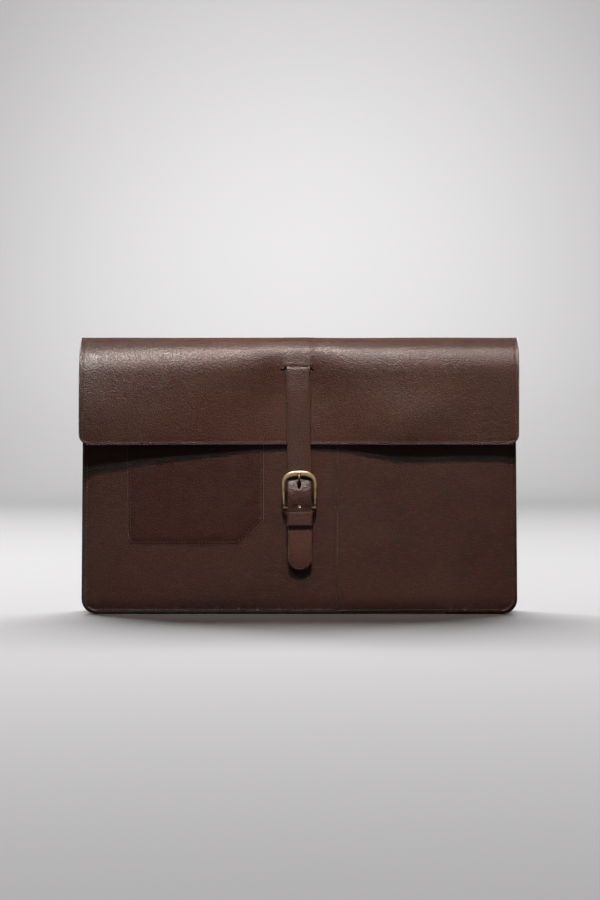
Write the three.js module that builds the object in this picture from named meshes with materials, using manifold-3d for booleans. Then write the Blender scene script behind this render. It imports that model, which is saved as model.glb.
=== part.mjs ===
// A padded leather laptop sleeve with a fold-over flap, a front strap and a buckle.
// Millimetres. +Z is up, the front faces -Y and +X is to the right of someone who looks at it.
// The origin is the middle of the face that the sleeve stands on.

import * as THREE from 'three';
import { mergeVertices } from 'three/addons/utils/BufferGeometryUtils.js';
import Module from 'manifold-3d';

const wasm = await Module();
wasm.setup();

// ---- Driving dimensions ----

const GAP = 0.3; // between pieces that touch

const BODY_WIDTH = 379; // at the base
const BODY_DEPTH = 28;
const HEIGHT = 240;
const FRONT_HEIGHT = 208;
const BACK_HEIGHT = 222;
const BASE_RADIUS = 13;
const SIDE_TAPER = 3; // how far each side leans in by the full height
const LEATHER = 1.8;
const FOAM = 2.5;
const LINING = 0.8;
const FLANGE = 8; // how far the gusset's edges turn in behind the panels
const BOARD = 1.5;

const POCKET_LEATHER = 1.3;
const POCKET_TOP = 192;
const CARD_POCKET = { left: -148.7, right: -30.8, bottom: 60.7, cut: 22 };
const DOCUMENT_POCKET_LEFT = 30;

const FLAP_WIDTH = 379;
const FLAP_BOTTOM = 148.1;
const FLAP_RADIUS = 9;
const FLAP_STAND_OFF = 2.5; // between the front panel and the flap's lining, at the strap
const BOW_LEFT = 10.5; // how much further than that its left end stands off
const BOW_RIGHT = 4.5;
const BOW_FULLNESS = 2.1; // how much sooner the left end swells out below the fold, from 1
const HELD_FLAT = 24; // half the width that the strap holds flat
const FULL_BOW_RIGHT = 90; // how far to the right the right end's bow is whole
const BAND_BOTTOM = 188;
const LINING_INSET = 3;
const REAR_FOLD = { across: 10, up: 14 };
const FRONT_FOLD = { across: 17, up: 30 };
const SPLIT_GAP = 0.4; // between the flap's strips, where they bend

const STRAP_WIDTH = 20.4;
const STRAP_THICKNESS = 1.9;
const STRAP_LEAN = 0.6; // degrees that the strap leans to the right on its way down
const STRAP_TIP = 39.1;
const STRAP_ROOT = { from: 143, to: 171, skived: 0.3 }; // angles on the front fold that it spans
const PIVOT_Z = 215.2; // where the strap bends when it is lifted
const SLOT = { x: -1.1, z: 214.5, width: 25, height: 3.4 };
const WINDOW = 40; // how high the lining is cut away above the slot
const PRONG_HOLE = { low: 108.3, high: 116.5, width: 3.4 };
const SPARE_HOLE = { z: 94.9, radius: 1.5 };

const HEEL = { y: -20.2, z: 92.7, radius: 1.4 }; // the bar that the buckle turns on
const BUCKLE_TILT = 9.5; // degrees that the frame leans forward over the strap
const BUCKLE_WIDTH = 30.5;
const BUCKLE_TOP = 33.4; // from the heel bar to the top of the frame
const ARCH_SPRING = 21.1; // from the heel bar to where the arch begins
const ARCH_INNER = { across: 12.4, up: 7.3 };
const ARCH_SQUARENESS = 2.8; // 2 is an ellipse, and more is squarer
const BUCKLE_THICKNESS = 2.6;
const LEG_TAPER = 0.2; // how far each leg's outer side leans in by its foot
const LUG = { radius: 3.1, inner: 12.9 };
const PRONG = { width: 2.2, thickness: 1.4, notch: 0.6, tip: 30, ring: 1.2 };

const CHAPE = { width: 20, leather: 1.4, backEnd: 54, frontEnd: 60, pinch: 84.9 };
const CHAPE_PLIES = { back: 0.9, front: -0.3 }; // each ply's inner side, behind the heel bar's middle
const KEEPER = { low: 78.2, high: 90.1, width: 23.4, leather: 1.2, back: -17, front: -26 };
const KEEPER_RADIUS = { outer: 1.8, inner: 0.6 };
const SNAP = { z: 68, radius: 7, socket: 2, stud: 1, washer: 0.6, boss: 2.5, recess: 3, bore: 2 };
const SNAP_RECESS_FLOOR = 0.4;
const STUD_BOSS = { height: 1.4, middle: 0.9 };

const ARC_STEPS = 6;
const FLAP_STEPS = 16;
const FLAP_FALLS = 6;
const STRAP_STEPS = 36;
const THROUGH = 40; // long enough for a cutter to pass through any piece

// ---- Places worked out from them ----

const FRONT_FACE = -BODY_DEPTH / 2;
const WALL = LEATHER + GAP;
const FOAM_FACE = BODY_DEPTH / 2 - WALL; // the outer side of the foam, from the middle
const LINING_FACE = FOAM_FACE - FOAM - GAP;
const CAVITY_HALF = LINING_FACE - LINING;
const COVER_LINING = WALL + LINING; // from the flap's outside to its lining's inside
const COVER_REAR = BODY_DEPTH / 2 + WALL;
const COVER_FRONT = FRONT_FACE - FLAP_STAND_OFF - COVER_LINING;
const REAR_CENTRE = point(COVER_REAR - REAR_FOLD.across, HEIGHT - REAR_FOLD.up);
const FRONT_CENTRE = point(COVER_FRONT + FRONT_FOLD.across, HEIGHT - FRONT_FOLD.up);
const REAR_SPLIT = 45;
const FRONT_SPLIT = 135;
const BOW_TOP = FRONT_CENTRE.y + FRONT_FOLD.up * Math.sin(degrees(FRONT_SPLIT));
const STRAP_PIVOT = point(COVER_FRONT - 0.1, PIVOT_Z);
const SNAP_X = SLOT.x + (PIVOT_Z - SNAP.z) * Math.tan(degrees(STRAP_LEAN));

// ---- Materials ----

const leather = (color) => new THREE.MeshStandardMaterial({ color, roughness: 0.55, metalness: 0 });
const soft = (color) => new THREE.MeshStandardMaterial({ color, roughness: 0.95, metalness: 0 });
const metal = (color) => new THREE.MeshStandardMaterial({ color, roughness: 0.35, metalness: 1 });

const SHELL_COLOUR = 0x3f2923;
const POCKET_COLOUR = 0x3c231c;
const FLAP_COLOUR = 0x462f28;
const STRAP_COLOUR = 0x4a312b;
const LINING_COLOUR = 0x5a4a3c;
const FOAM_COLOUR = 0x2b2b2b;
const BOARD_COLOUR = 0x6b5a45;
const BRASS_COLOUR = 0x8a7250;
const STEEL_COLOUR = 0x9a9890;

// ---- Helpers ----

function degrees(angle) {
  return THREE.MathUtils.degToRad(angle);
}

function point(x, y) {
  return new THREE.Vector2(x, y);
}

// Points along part of an ellipse, from one angle to another, in degrees.
function arc(centre, across, up, from, to, steps = ARC_STEPS) {
  const curve = new THREE.EllipseCurve(
    centre.x, centre.y, across, up, degrees(from), degrees(to), to < from,
  );
  return curve.getPoints(steps);
}

function mirrored(points) {
  return points.map((p) => point(-p.x, p.y)).reverse();
}

function extrude(points, depth, steps = 1) {
  const settings = { depth, steps, bevelEnabled: false };
  return new THREE.ExtrudeGeometry(new THREE.Shape(points), settings);
}

// An outline drawn in X and Z, thickened towards the front from y = back.
function plate(points, thickness, back = 0) {
  return extrude(points, thickness).rotateX(Math.PI / 2).translate(0, back, 0);
}

// A profile drawn in Y and Z, drawn out along X to both sides of x = middle.
function strip(points, width, middle = 0, steps = 1) {
  const alongX = new THREE.Matrix4().makeBasis(
    new THREE.Vector3(0, 1, 0), new THREE.Vector3(0, 0, 1), new THREE.Vector3(1, 0, 0),
  );
  return extrude(points, width, steps).applyMatrix4(alongX).translate(middle - width / 2, 0, 0);
}

function rod(radius, length, sides = 24) {
  return new THREE.CylinderGeometry(radius, radius, length, sides);
}

function box(width, depth, height, x, y, z) {
  return new THREE.BoxGeometry(width, depth, height).translate(x, y, z);
}

function toSolid(geometry) {
  const bare = geometry.clone();
  bare.deleteAttribute('normal');
  bare.deleteAttribute('uv');
  const merged = mergeVertices(bare, 1e-4);
  return new wasm.Manifold(new wasm.Mesh({
    numProp: 3,
    vertProperties: new Float32Array(merged.attributes.position.array),
    triVerts: new Uint32Array(merged.index.array),
  }));
}

function toGeometry(solid) {
  const { vertProperties, triVerts } = solid.getMesh();
  const geometry = new THREE.BufferGeometry();
  geometry.setAttribute('position', new THREE.BufferAttribute(vertProperties, 3));
  geometry.setIndex(new THREE.BufferAttribute(triVerts, 1));
  return geometry;
}

function join(first, ...others) {
  return toGeometry(others.reduce((sum, next) => sum.add(toSolid(next)), toSolid(first)));
}

function cut(first, ...others) {
  return toGeometry(others.reduce((rest, next) => rest.subtract(toSolid(next)), toSolid(first)));
}

function common(first, second) {
  return toGeometry(toSolid(first).intersect(toSolid(second)));
}

function piece(group, name, geometry, material) {
  const mesh = new THREE.Mesh(geometry, material);
  mesh.name = name;
  group.add(mesh);
  return mesh;
}

// Half the sleeve's width at a height above its rounded base.
function halfWidthAt(height) {
  return BODY_WIDTH / 2 - (SIDE_TAPER * (height - BASE_RADIUS)) / (HEIGHT - BASE_RADIUS);
}

// The sleeve's front outline, inset all round: square at the top, rounded at the base.
function pouchOutline(inset, top) {
  const half = BODY_WIDTH / 2 - inset;
  const radius = Math.max(BASE_RADIUS - inset, 1);
  const right = arc(point(half - radius, inset + radius), radius, radius, 270, 360);
  right.push(point(halfWidthAt(top) - inset, top));
  return [...mirrored(right), ...right];
}

// ---- Sleeve: panels, padding, lining ----

function addPanels(sleeve) {
  const front = plate(pouchOutline(0, FRONT_HEIGHT), LEATHER);
  piece(sleeve, 'front_panel', front, leather(SHELL_COLOUR)).position.y = FRONT_FACE + LEATHER;
  const back = plate(pouchOutline(0, BACK_HEIGHT), LEATHER);
  piece(sleeve, 'back_panel', back, leather(SHELL_COLOUR)).position.y = BODY_DEPTH / 2;
}

// One strip round both sides and the base, its two edges turned in to meet the panels.
function addGusset(sleeve) {
  const top = FRONT_HEIGHT - 3;
  const ring = [...pouchOutline(0, top), ...pouchOutline(LEATHER + FLANGE, top).reverse()];
  const channel = plate(
    pouchOutline(LEATHER, top + 1), 2 * (FOAM_FACE - LEATHER), FOAM_FACE - LEATHER,
  );
  const gusset = cut(plate(ring, 2 * FOAM_FACE, FOAM_FACE), channel);
  piece(sleeve, 'gusset', gusset, leather(SHELL_COLOUR));
}

function addPadding(sleeve) {
  const inset = LEATHER + FLANGE + GAP;
  const recess = rod(SNAP.radius + GAP, THROUGH).translate(SNAP_X, 0, SNAP.z);
  const front = cut(plate(pouchOutline(inset, FRONT_HEIGHT - 8), FOAM), recess);
  piece(sleeve, 'front_foam', front, soft(FOAM_COLOUR)).position.y = FOAM - FOAM_FACE;
  const back = plate(pouchOutline(inset, BACK_HEIGHT - 6), FOAM);
  piece(sleeve, 'back_foam', back, soft(FOAM_COLOUR)).position.y = FOAM_FACE;
}

function addLinings(sleeve) {
  const front = plate(pouchOutline(WALL, FRONT_HEIGHT - 2), LINING);
  piece(sleeve, 'front_lining', front, soft(LINING_COLOUR)).position.y = -CAVITY_HALF;
  const back = plate(pouchOutline(WALL, BACK_HEIGHT - 2), LINING);
  piece(sleeve, 'back_lining', back, soft(LINING_COLOUR)).position.y = LINING_FACE;
}

function addBottomBoard(sleeve) {
  const width = BODY_WIDTH - 2 * (BASE_RADIUS + 3);
  const board = new THREE.BoxGeometry(width, 2 * (CAVITY_HALF - GAP), BOARD);
  piece(sleeve, 'bottom_board', board, soft(BOARD_COLOUR)).position.z = WALL + BOARD / 2;
}

// ---- Sleeve: pockets on the front ----

function addCardPocket(sleeve) {
  const { left, right, bottom, cut: corner } = CARD_POCKET;
  const outline = [
    point(left, POCKET_TOP), ...arc(point(left + 2, bottom + 2), 2, 2, 180, 270, 3),
    point(right - corner, bottom), point(right, bottom + corner), point(right, POCKET_TOP),
  ];
  const pocket = plate(outline, POCKET_LEATHER);
  piece(sleeve, 'card_pocket', pocket, leather(POCKET_COLOUR)).position.y = FRONT_FACE - GAP;
}

function addDocumentPocket(sleeve) {
  const half = BODY_WIDTH / 2;
  const corner = arc(point(half - BASE_RADIUS, BASE_RADIUS), BASE_RADIUS, BASE_RADIUS, 270, 360);
  const left = DOCUMENT_POCKET_LEFT;
  const outline = [
    point(left, POCKET_TOP), point(left, 0), ...corner, point(halfWidthAt(POCKET_TOP), POCKET_TOP),
  ];
  const pocket = plate(outline, POCKET_LEATHER);
  piece(sleeve, 'document_pocket', pocket, leather(SHELL_COLOUR)).position.y = FRONT_FACE - GAP;
}

// ---- Flap: one long piece of leather, in three strips that meet where it bends ----

// The angle that half the gap between two strips takes up on a fold.
function splitAngle(fold) {
  return THREE.MathUtils.radToDeg(SPLIT_GAP / (fold.across + fold.up));
}

function rearArc(depth, from, to) {
  return arc(REAR_CENTRE, REAR_FOLD.across - depth, REAR_FOLD.up - depth, from, to);
}

function frontArc(depth, from, to) {
  return arc(FRONT_CENTRE, FRONT_FOLD.across - depth, FRONT_FOLD.up - depth, from, to);
}

// Each profile is a layer of the flap, between two depths under its outside.
function bandProfile(outer, inner, bottom) {
  const end = REAR_SPLIT - splitAngle(REAR_FOLD);
  return [
    point(COVER_REAR - outer, bottom), ...rearArc(outer, 0, end),
    ...rearArc(inner, end, 0), point(COVER_REAR - inner, bottom),
  ];
}

function spineProfile(outer, inner) {
  const start = REAR_SPLIT + splitAngle(REAR_FOLD);
  const end = FRONT_SPLIT - splitAngle(FRONT_FOLD);
  return [
    ...rearArc(outer, start, 90), ...frontArc(outer, 90, end),
    ...frontArc(inner, end, 90), ...rearArc(inner, 90, start),
  ];
}

// Points down the flap's straight part, below its fold.
function flapFall(depth, bottom) {
  const fall = (FRONT_CENTRE.y - bottom) / FLAP_FALLS;
  const heights = Array.from({ length: FLAP_FALLS }, (_, i) => FRONT_CENTRE.y - (i + 1) * fall);
  return heights.map((height) => point(COVER_FRONT + depth, height));
}

function flapProfile(outer, inner, bottom) {
  const start = FRONT_SPLIT + splitAngle(FRONT_FOLD);
  return [
    ...frontArc(outer, start, 180), ...flapFall(outer, bottom),
    ...flapFall(inner, bottom).reverse(), ...frontArc(inner, 180, start),
  ];
}

// How much further than at the strap the flap stands off the front.
function bow(x, z) {
  const left = BOW_LEFT * Math.max((-x - HELD_FLAT) / (FLAP_WIDTH / 2 - HELD_FLAT), 0);
  const right = BOW_RIGHT * THREE.MathUtils.smoothstep(x, HELD_FLAT, FULL_BOW_RIGHT);
  const share = THREE.MathUtils.clamp((BOW_TOP - z) / (BOW_TOP - FLAP_BOTTOM), 0, 1);
  return left * (1 - (1 - share) ** BOW_FULLNESS) + right * share;
}

function bowed(geometry) {
  const place = geometry.attributes.position;
  for (let i = 0; i < place.count; i += 1) {
    place.setY(i, place.getY(i) - bow(place.getX(i), place.getZ(i)));
  }
  return geometry;
}

// The flap's front outline, inset all round except at the top.
function flapOutline(inset) {
  const half = FLAP_WIDTH / 2 - inset;
  const bottom = FLAP_BOTTOM + inset;
  const radius = FLAP_RADIUS - inset;
  const right = arc(point(half - radius, bottom + radius), radius, radius, 270, 360);
  right.push(point(half, HEIGHT));
  return [...mirrored(right), ...right];
}

function flapSheet(outer, inner, inset) {
  const sheet = strip(
    flapProfile(outer, inner, FLAP_BOTTOM - 1), FLAP_WIDTH, 0, FLAP_STEPS,
  );
  return common(bowed(sheet), plate(flapOutline(inset), 2 * THROUGH, THROUGH));
}

function addBand(sleeve) {
  const band = strip(bandProfile(0, LEATHER, BAND_BOTTOM), FLAP_WIDTH);
  piece(sleeve, 'flap_back_band', band, leather(FLAP_COLOUR));
}

function addSpine(spine) {
  const cover = strip(spineProfile(0, LEATHER), FLAP_WIDTH);
  piece(spine, 'flap_spine', cover, leather(FLAP_COLOUR));
  const lining = strip(spineProfile(WALL, COVER_LINING), FLAP_WIDTH - 2 * LINING_INSET);
  piece(spine, 'spine_lining', lining, soft(LINING_COLOUR));
}

function addFlap(flap) {
  const slot = box(SLOT.width, THROUGH, SLOT.height, SLOT.x, COVER_FRONT, SLOT.z);
  const cover = cut(flapSheet(0, LEATHER, 0), slot);
  piece(flap, 'flap_front', cover, leather(FLAP_COLOUR));
  const windowMiddle = SLOT.z - SLOT.height + WINDOW / 2;
  const window = box(STRAP_WIDTH + 1, THROUGH, WINDOW, SLOT.x, COVER_FRONT, windowMiddle);
  const lining = cut(flapSheet(WALL, COVER_LINING, LINING_INSET), window);
  piece(flap, 'flap_lining', lining, soft(LINING_COLOUR));
}

// The strap's upper end, sewn up inside the flap; its lower edge turns out through the slot.
function addStrapRoot(flap) {
  const { from, to, skived } = STRAP_ROOT;
  const outer = WALL;
  const inner = WALL + STRAP_THICKNESS - skived;
  const profile = [...frontArc(outer, from, to), ...frontArc(inner, to, from)];
  const root = strip(profile, STRAP_WIDTH, SLOT.x);
  const lip = COVER_FRONT + GAP; // just under the flap's outside
  const turn = box(STRAP_WIDTH, inner, STRAP_THICKNESS, SLOT.x, lip + inner / 2, SLOT.z);
  piece(flap, 'strap_root', join(root, turn), leather(STRAP_COLOUR));
}

// ---- Closure: drawn round the strap's pivot, at the slot ----

function fromPivot(y, z) {
  return point(y - STRAP_PIVOT.x, z - STRAP_PIVOT.y);
}

// A ribbon's profile: a line through the given places, thickened to both sides.
function ribbon(places, thickness, steps) {
  const line = new THREE.SplineCurve(places);
  const front = [];
  const back = [];
  for (let i = 0; i <= steps; i += 1) {
    const centre = line.getPoint(i / steps);
    const tangent = line.getTangent(i / steps);
    const aside = point(tangent.y, -tangent.x).multiplyScalar(thickness / 2);
    front.push(centre.clone().add(aside));
    back.push(centre.clone().sub(aside));
  }
  return [...front, ...back.reverse()];
}

// The strap lies on the flap, dips behind the buckle's top bar, then rises over the heel bar.
function strapLine() {
  const places = [
    [-20.65, 214.7], [-20.75, 190], [-20.75, 160], [-20.8, 140], [-21.3, 124.9], [-21.5, 119.4],
    [-23.5, 113.4], [-25.9, 105.9], [-25.6, 98.9], [-24.9, HEEL.z], [-24.4, CHAPE.pinch],
    [-23.5, 63], [-21, STRAP_TIP],
  ];
  return places.map(([y, z]) => fromPivot(y, z));
}

function capsule(low, high, width) {
  const radius = width / 2;
  const bottom = arc(point(0, low + radius), radius, radius, 180, 360);
  const top = arc(point(0, high - radius), radius, radius, 0, 180);
  return [...bottom, ...top];
}

function addStrap(closure) {
  const body = strip(ribbon(strapLine(), STRAP_THICKNESS, STRAP_STEPS), STRAP_WIDTH);
  const half = STRAP_WIDTH / 2;
  const tip = fromPivot(0, STRAP_TIP).y;
  const above = STRAP_THICKNESS; // higher than the ribbon's upper end
  const outline = [
    point(half, above), point(-half, above),
    ...arc(point(0, tip + half), half, half, 180, 360, 2 * ARC_STEPS),
  ];
  const shaped = common(body, plate(outline, THROUGH, THROUGH / 2));
  const { low, high, width } = PRONG_HOLE;
  const slit = capsule(low - PIVOT_Z, high - PIVOT_Z, width);
  const hole = plate(slit, THROUGH, THROUGH / 2);
  const spare = rod(SPARE_HOLE.radius, THROUGH).translate(0, 0, SPARE_HOLE.z - PIVOT_Z);
  piece(closure, 'strap', cut(shaped, hole, spare), leather(STRAP_COLOUR));
}

// A short strip folded round the heel bar, slotted for the prong; the strap's tail hides it.
function addChape(closure) {
  const { leather: thick, backEnd, frontEnd, pinch, width } = CHAPE;
  const centre = fromPivot(HEEL.y, HEEL.z);
  const inner = HEEL.radius + GAP;
  const outer = inner + thick;
  const back = HEEL.y + CHAPE_PLIES.back;
  const front = HEEL.y + CHAPE_PLIES.front;
  const profile = [
    fromPivot(back + thick, backEnd), fromPivot(back + thick, pinch),
    ...arc(centre, outer, outer, 0, 180, 2 * ARC_STEPS),
    fromPivot(front - thick, pinch), fromPivot(front - thick, frontEnd),
    fromPivot(front, frontEnd), fromPivot(front, pinch),
    ...arc(centre, inner, inner, 180, 0, 2 * ARC_STEPS),
    fromPivot(back, pinch), fromPivot(back, backEnd),
  ];
  const slot = box(PRONG.width + 2, THROUGH, 4 * inner + outer, 0, centre.x, centre.y);
  piece(closure, 'chape', cut(strip(profile, width), slot), leather(STRAP_COLOUR));
}

function roundedRectangle(halfX, low, high, radius) {
  const right = [
    ...arc(point(halfX - radius, low + radius), radius, radius, 270, 360, 3),
    ...arc(point(halfX - radius, high - radius), radius, radius, 0, 90, 3),
  ];
  return [...right, ...right.map((p) => point(-p.x, p.y)).reverse()];
}

// A fixed leather loop that holds the strap's tail against the chape.
function addKeeper(closure) {
  const { low, high, width, leather: thick, back, front } = KEEPER;
  const rear = back - STRAP_PIVOT.x;
  const fore = front - STRAP_PIVOT.x;
  const outside = roundedRectangle(width / 2, fore - thick, rear + thick, KEEPER_RADIUS.outer);
  const inside = roundedRectangle(width / 2 - thick, fore, rear, KEEPER_RADIUS.inner);
  const bore = extrude(inside, THROUGH).translate(0, 0, -THROUGH / 2);
  const loop = cut(extrude(outside, high - low), bore);
  piece(closure, 'keeper', loop, leather(STRAP_COLOUR)).position.z = low - PIVOT_Z;
}

// ---- Buckle: drawn round the heel bar, with the frame upright ----

// Points over the arch, from one angle to another in degrees, on a squared ellipse.
function archPoints(across, up, from, to, steps) {
  const squared = (value) => Math.sign(value) * Math.abs(value) ** (2 / ARCH_SQUARENESS);
  return Array.from({ length: steps + 1 }, (_, i) => {
    const angle = degrees(from + ((to - from) * i) / steps);
    return point(across * squared(Math.cos(angle)), ARCH_SPRING + up * squared(Math.sin(angle)));
  });
}

function archOutline() {
  const outerHalf = BUCKLE_WIDTH / 2;
  const rise = BUCKLE_TOP - ARCH_SPRING;
  return [
    point(LUG.inner, 0), point(outerHalf - LEG_TAPER, 0),
    ...archPoints(outerHalf, rise, 0, 180, 24),
    point(LEG_TAPER - outerHalf, 0), point(-LUG.inner, 0),
    ...archPoints(ARCH_INNER.across, ARCH_INNER.up, 180, 0, 20),
  ];
}

function lug(side) {
  const width = BUCKLE_WIDTH / 2 - LEG_TAPER - LUG.inner;
  const middle = side * (LUG.inner + width / 2);
  return rod(LUG.radius, width).rotateZ(Math.PI / 2).translate(middle, 0, 0);
}

function addBuckle(buckle) {
  const arch = plate(archOutline(), BUCKLE_THICKNESS, BUCKLE_THICKNESS / 2);
  const solid = join(arch, lug(-1), lug(1));
  const bore = rod(HEEL.radius + GAP, THROUGH).rotateZ(Math.PI / 2);
  const notchFloor = PRONG.notch - BUCKLE_THICKNESS / 2;
  const notchHeight = 8;
  const notch = box(
    PRONG.width + 2 * GAP, BUCKLE_THICKNESS, notchHeight,
    0, notchFloor - BUCKLE_THICKNESS / 2, PRONG.tip + 2 * GAP - notchHeight / 2,
  );
  piece(buckle, 'buckle_frame', cut(solid, bore, notch), metal(BRASS_COLOUR));
  const bar = rod(HEEL.radius, BUCKLE_WIDTH - 3 * LEG_TAPER).rotateZ(Math.PI / 2);
  piece(buckle, 'heel_bar', bar, metal(BRASS_COLOUR));
}

// A ring round the heel bar and a shank that bends forward through the strap onto the frame.
function addProng(prong) {
  const outer = HEEL.radius + GAP + PRONG.ring;
  const rest = PRONG.notch - BUCKLE_THICKNESS / 2 - GAP - PRONG.thickness / 2;
  const places = [
    point(1.5, 1.6), point(1.8, 8), point(1.7, 14), point(1, 18.5), point(0.1, 21.5),
    point(-1, 25), point(rest, 28), point(rest, PRONG.tip),
  ];
  const shank = strip(ribbon(places, PRONG.thickness, 4 * ARC_STEPS), PRONG.width);
  const ring = rod(outer, PRONG.width + GAP).rotateZ(Math.PI / 2);
  const bore = rod(HEEL.radius + GAP, THROUGH).rotateZ(Math.PI / 2);
  piece(prong, 'prong', cut(join(shank, ring), bore), metal(BRASS_COLOUR));
}

// ---- Concealed magnetic snap between the chape and the front panel ----

function snapWasher() {
  return cut(rod(SNAP.radius, SNAP.washer), rod(SNAP.bore, THROUGH));
}

function addSnapSocket(sleeve) {
  const { z, radius, socket, washer, recess } = SNAP;
  const back = FRONT_FACE - GAP;
  const cup = cut(rod(radius, socket), rod(recess, socket).translate(0, -SNAP_RECESS_FLOOR, 0));
  piece(sleeve, 'snap_socket', cup, metal(STEEL_COLOUR)).position.set(SNAP_X, back - socket / 2, z);
  const inside = -FOAM_FACE + washer / 2;
  const ring = piece(sleeve, 'snap_socket_washer', snapWasher(), metal(STEEL_COLOUR));
  ring.position.set(SNAP_X, inside, z);
}

function addSnapStud(closure) {
  const { z, radius, stud, boss } = SNAP;
  const socketFace = FRONT_FACE - GAP - SNAP.socket;
  const face = fromPivot(socketFace - GAP - stud / 2, z);
  const knob = rod(boss, STUD_BOSS.height).translate(0, STUD_BOSS.middle, 0);
  const disc = join(rod(radius, stud), knob);
  piece(closure, 'snap_stud', disc, metal(STEEL_COLOUR)).position.set(0, face.x, face.y);
  const betweenPlies = (CHAPE_PLIES.back + CHAPE_PLIES.front) / 2;
  const between = fromPivot(HEEL.y + betweenPlies, z);
  const ring = piece(closure, 'snap_stud_washer', snapWasher(), metal(STEEL_COLOUR));
  ring.position.set(0, between.x, between.y);
}

// ---- Assembly ----

function build() {
  const root = new THREE.Group();
  const sleeve = new THREE.Group();
  addPanels(sleeve);
  addGusset(sleeve);
  addPadding(sleeve);
  addLinings(sleeve);
  addBottomBoard(sleeve);
  addCardPocket(sleeve);
  addDocumentPocket(sleeve);
  addBand(sleeve);
  addSnapSocket(sleeve);

  const spine = new THREE.Group();
  addSpine(spine);

  const flap = new THREE.Group();
  addFlap(flap);
  addStrapRoot(flap);

  const closure = new THREE.Group();
  closure.position.set(SLOT.x, STRAP_PIVOT.x, STRAP_PIVOT.y);
  closure.rotation.y = degrees(-STRAP_LEAN);
  addStrap(closure);
  addChape(closure);
  addKeeper(closure);
  addSnapStud(closure);

  const buckle = new THREE.Group();
  const heel = fromPivot(HEEL.y, HEEL.z);
  buckle.position.set(0, heel.x, heel.y);
  buckle.rotation.x = degrees(BUCKLE_TILT);
  addBuckle(buckle);
  const prong = new THREE.Group();
  addProng(prong);

  buckle.add(prong);
  closure.add(buckle);
  flap.add(closure);
  spine.add(flap);
  root.add(sleeve, spine);
  return root;
}

export default build();
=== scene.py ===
"""The looks of a leather laptop sleeve: leather, thread, lining and brass laid round the CAD frame."""

import math

import bmesh
import bpy
import numpy as np
from mathutils import Matrix, Vector, noise
from mathutils.geometry import delaunay_2d_cdt


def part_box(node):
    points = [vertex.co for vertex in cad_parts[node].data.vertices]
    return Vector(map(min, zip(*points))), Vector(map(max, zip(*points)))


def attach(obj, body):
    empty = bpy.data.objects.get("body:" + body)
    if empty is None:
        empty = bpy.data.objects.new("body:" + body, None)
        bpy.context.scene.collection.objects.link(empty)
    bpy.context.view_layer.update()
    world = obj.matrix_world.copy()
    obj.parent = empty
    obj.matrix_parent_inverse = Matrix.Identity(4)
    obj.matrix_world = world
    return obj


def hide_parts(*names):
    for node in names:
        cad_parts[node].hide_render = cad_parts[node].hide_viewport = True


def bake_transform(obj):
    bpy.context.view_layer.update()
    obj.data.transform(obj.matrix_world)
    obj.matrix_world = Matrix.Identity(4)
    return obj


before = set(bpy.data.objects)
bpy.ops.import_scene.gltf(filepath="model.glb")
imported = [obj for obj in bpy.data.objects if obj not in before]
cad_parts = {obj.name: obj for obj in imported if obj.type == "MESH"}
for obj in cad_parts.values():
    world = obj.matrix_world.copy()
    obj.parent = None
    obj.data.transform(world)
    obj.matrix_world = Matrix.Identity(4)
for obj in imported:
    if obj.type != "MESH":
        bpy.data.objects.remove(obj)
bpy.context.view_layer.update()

MM = 0.001  # shapes are worked out in millimetres, and meshes are made in metres

# ---- Sizes, in millimetres ----


def span(node, axis):
    """A CAD node's lowest and highest place along an axis, 0 to 2, in millimetres."""
    low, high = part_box(node)
    return low[axis] / MM, high[axis] / MM


HALF_WIDTH = span("front_panel", 0)[1]
FRONT_FACE, FRONT_INSIDE = span("front_panel", 1)
BACK_INSIDE, BACK_FACE = span("back_panel", 1)
FRONT_TOP = span("front_panel", 2)[1]
BACK_TOP = span("back_panel", 2)[1]
GUSSET_TOP = span("gusset", 2)[1]
BASE_RADIUS = 13
SIDE_TAPER = 3  # how far each side leans in by the full height

RIM_ROLL = 3.0  # how wide the panels' rolled rim is
RIM_DROP = 2.3  # how far it rolls back
SEAM_INSET = 3.5
PUFF = 1.3  # how far the padding swells a panel
PANEL_LEATHER = 1.7

FLAP_HALF = span("flap_spine", 0)[1]
COVER_REAR = span("flap_back_band", 1)[1]
BAND_BOTTOM = span("flap_back_band", 2)[0]
HEIGHT = span("flap_spine", 2)[1]
FLAP_BOTTOM = span("flap_front", 2)[0]
COVER_FRONT = -19.4  # the flap's outside, where the strap holds it
REAR_FOLD = (10, 14)  # how far each fold reaches across and down
FRONT_FOLD = (17, 30)
FLAP_LEATHER = 1.8
FLAP_RADIUS = 9
BOW_LEFT = 10.5  # how far the flap's lower corners stand off the front
BOW_RIGHT = 4.5
BOW_FULLNESS = 2.1  # how soon below the fold it stands off
HELD_FLAT = 20  # how far out from the middle the strap holds it flat
TOP_NARROWING = 0.3
BOW_TOP = HEIGHT - FRONT_FOLD[1] * (1 - math.sin(math.radians(45)))

SLOT_X = -1.1
SLOT_Z = 213.4
SLOT_SIZE = (23.6, 2.0)
PIVOT = (COVER_FRONT - 0.1, 215.2)  # where the strap turns as it lifts, along Y and Z
LEAN = math.radians(0.6)
STRAP_WIDTH = 20.4
STRAP_THICKNESS = 1.9
STRAP_TIP = 39.1
STRAP_LINE = [  # the strap's middle, along Y and Z, from inside the flap to its tip
    (-15.2, 216.1), (-16.9, 215.8), (-18.2, 214.8), (-18.9, 213.1), (-19.25, 210.6), (-19.7, 204),
    (-20.5, 190), (-20.75, 160), (-20.8, 140), (-21.3, 124.9), (-21.8, 119.4), (-24.0, 113.6),
    (-25.8, 107.9), (-25.8, 98.9), (-24.9, 92.7), (-24.4, 84.9), (-23.4, 68), (-22.5, 58),
    (-20.7, 48), (-19.1, STRAP_TIP),
]
PRONG_HOLE = (109.6, 115.6, 3.2)  # its lower and upper end, and its width
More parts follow.
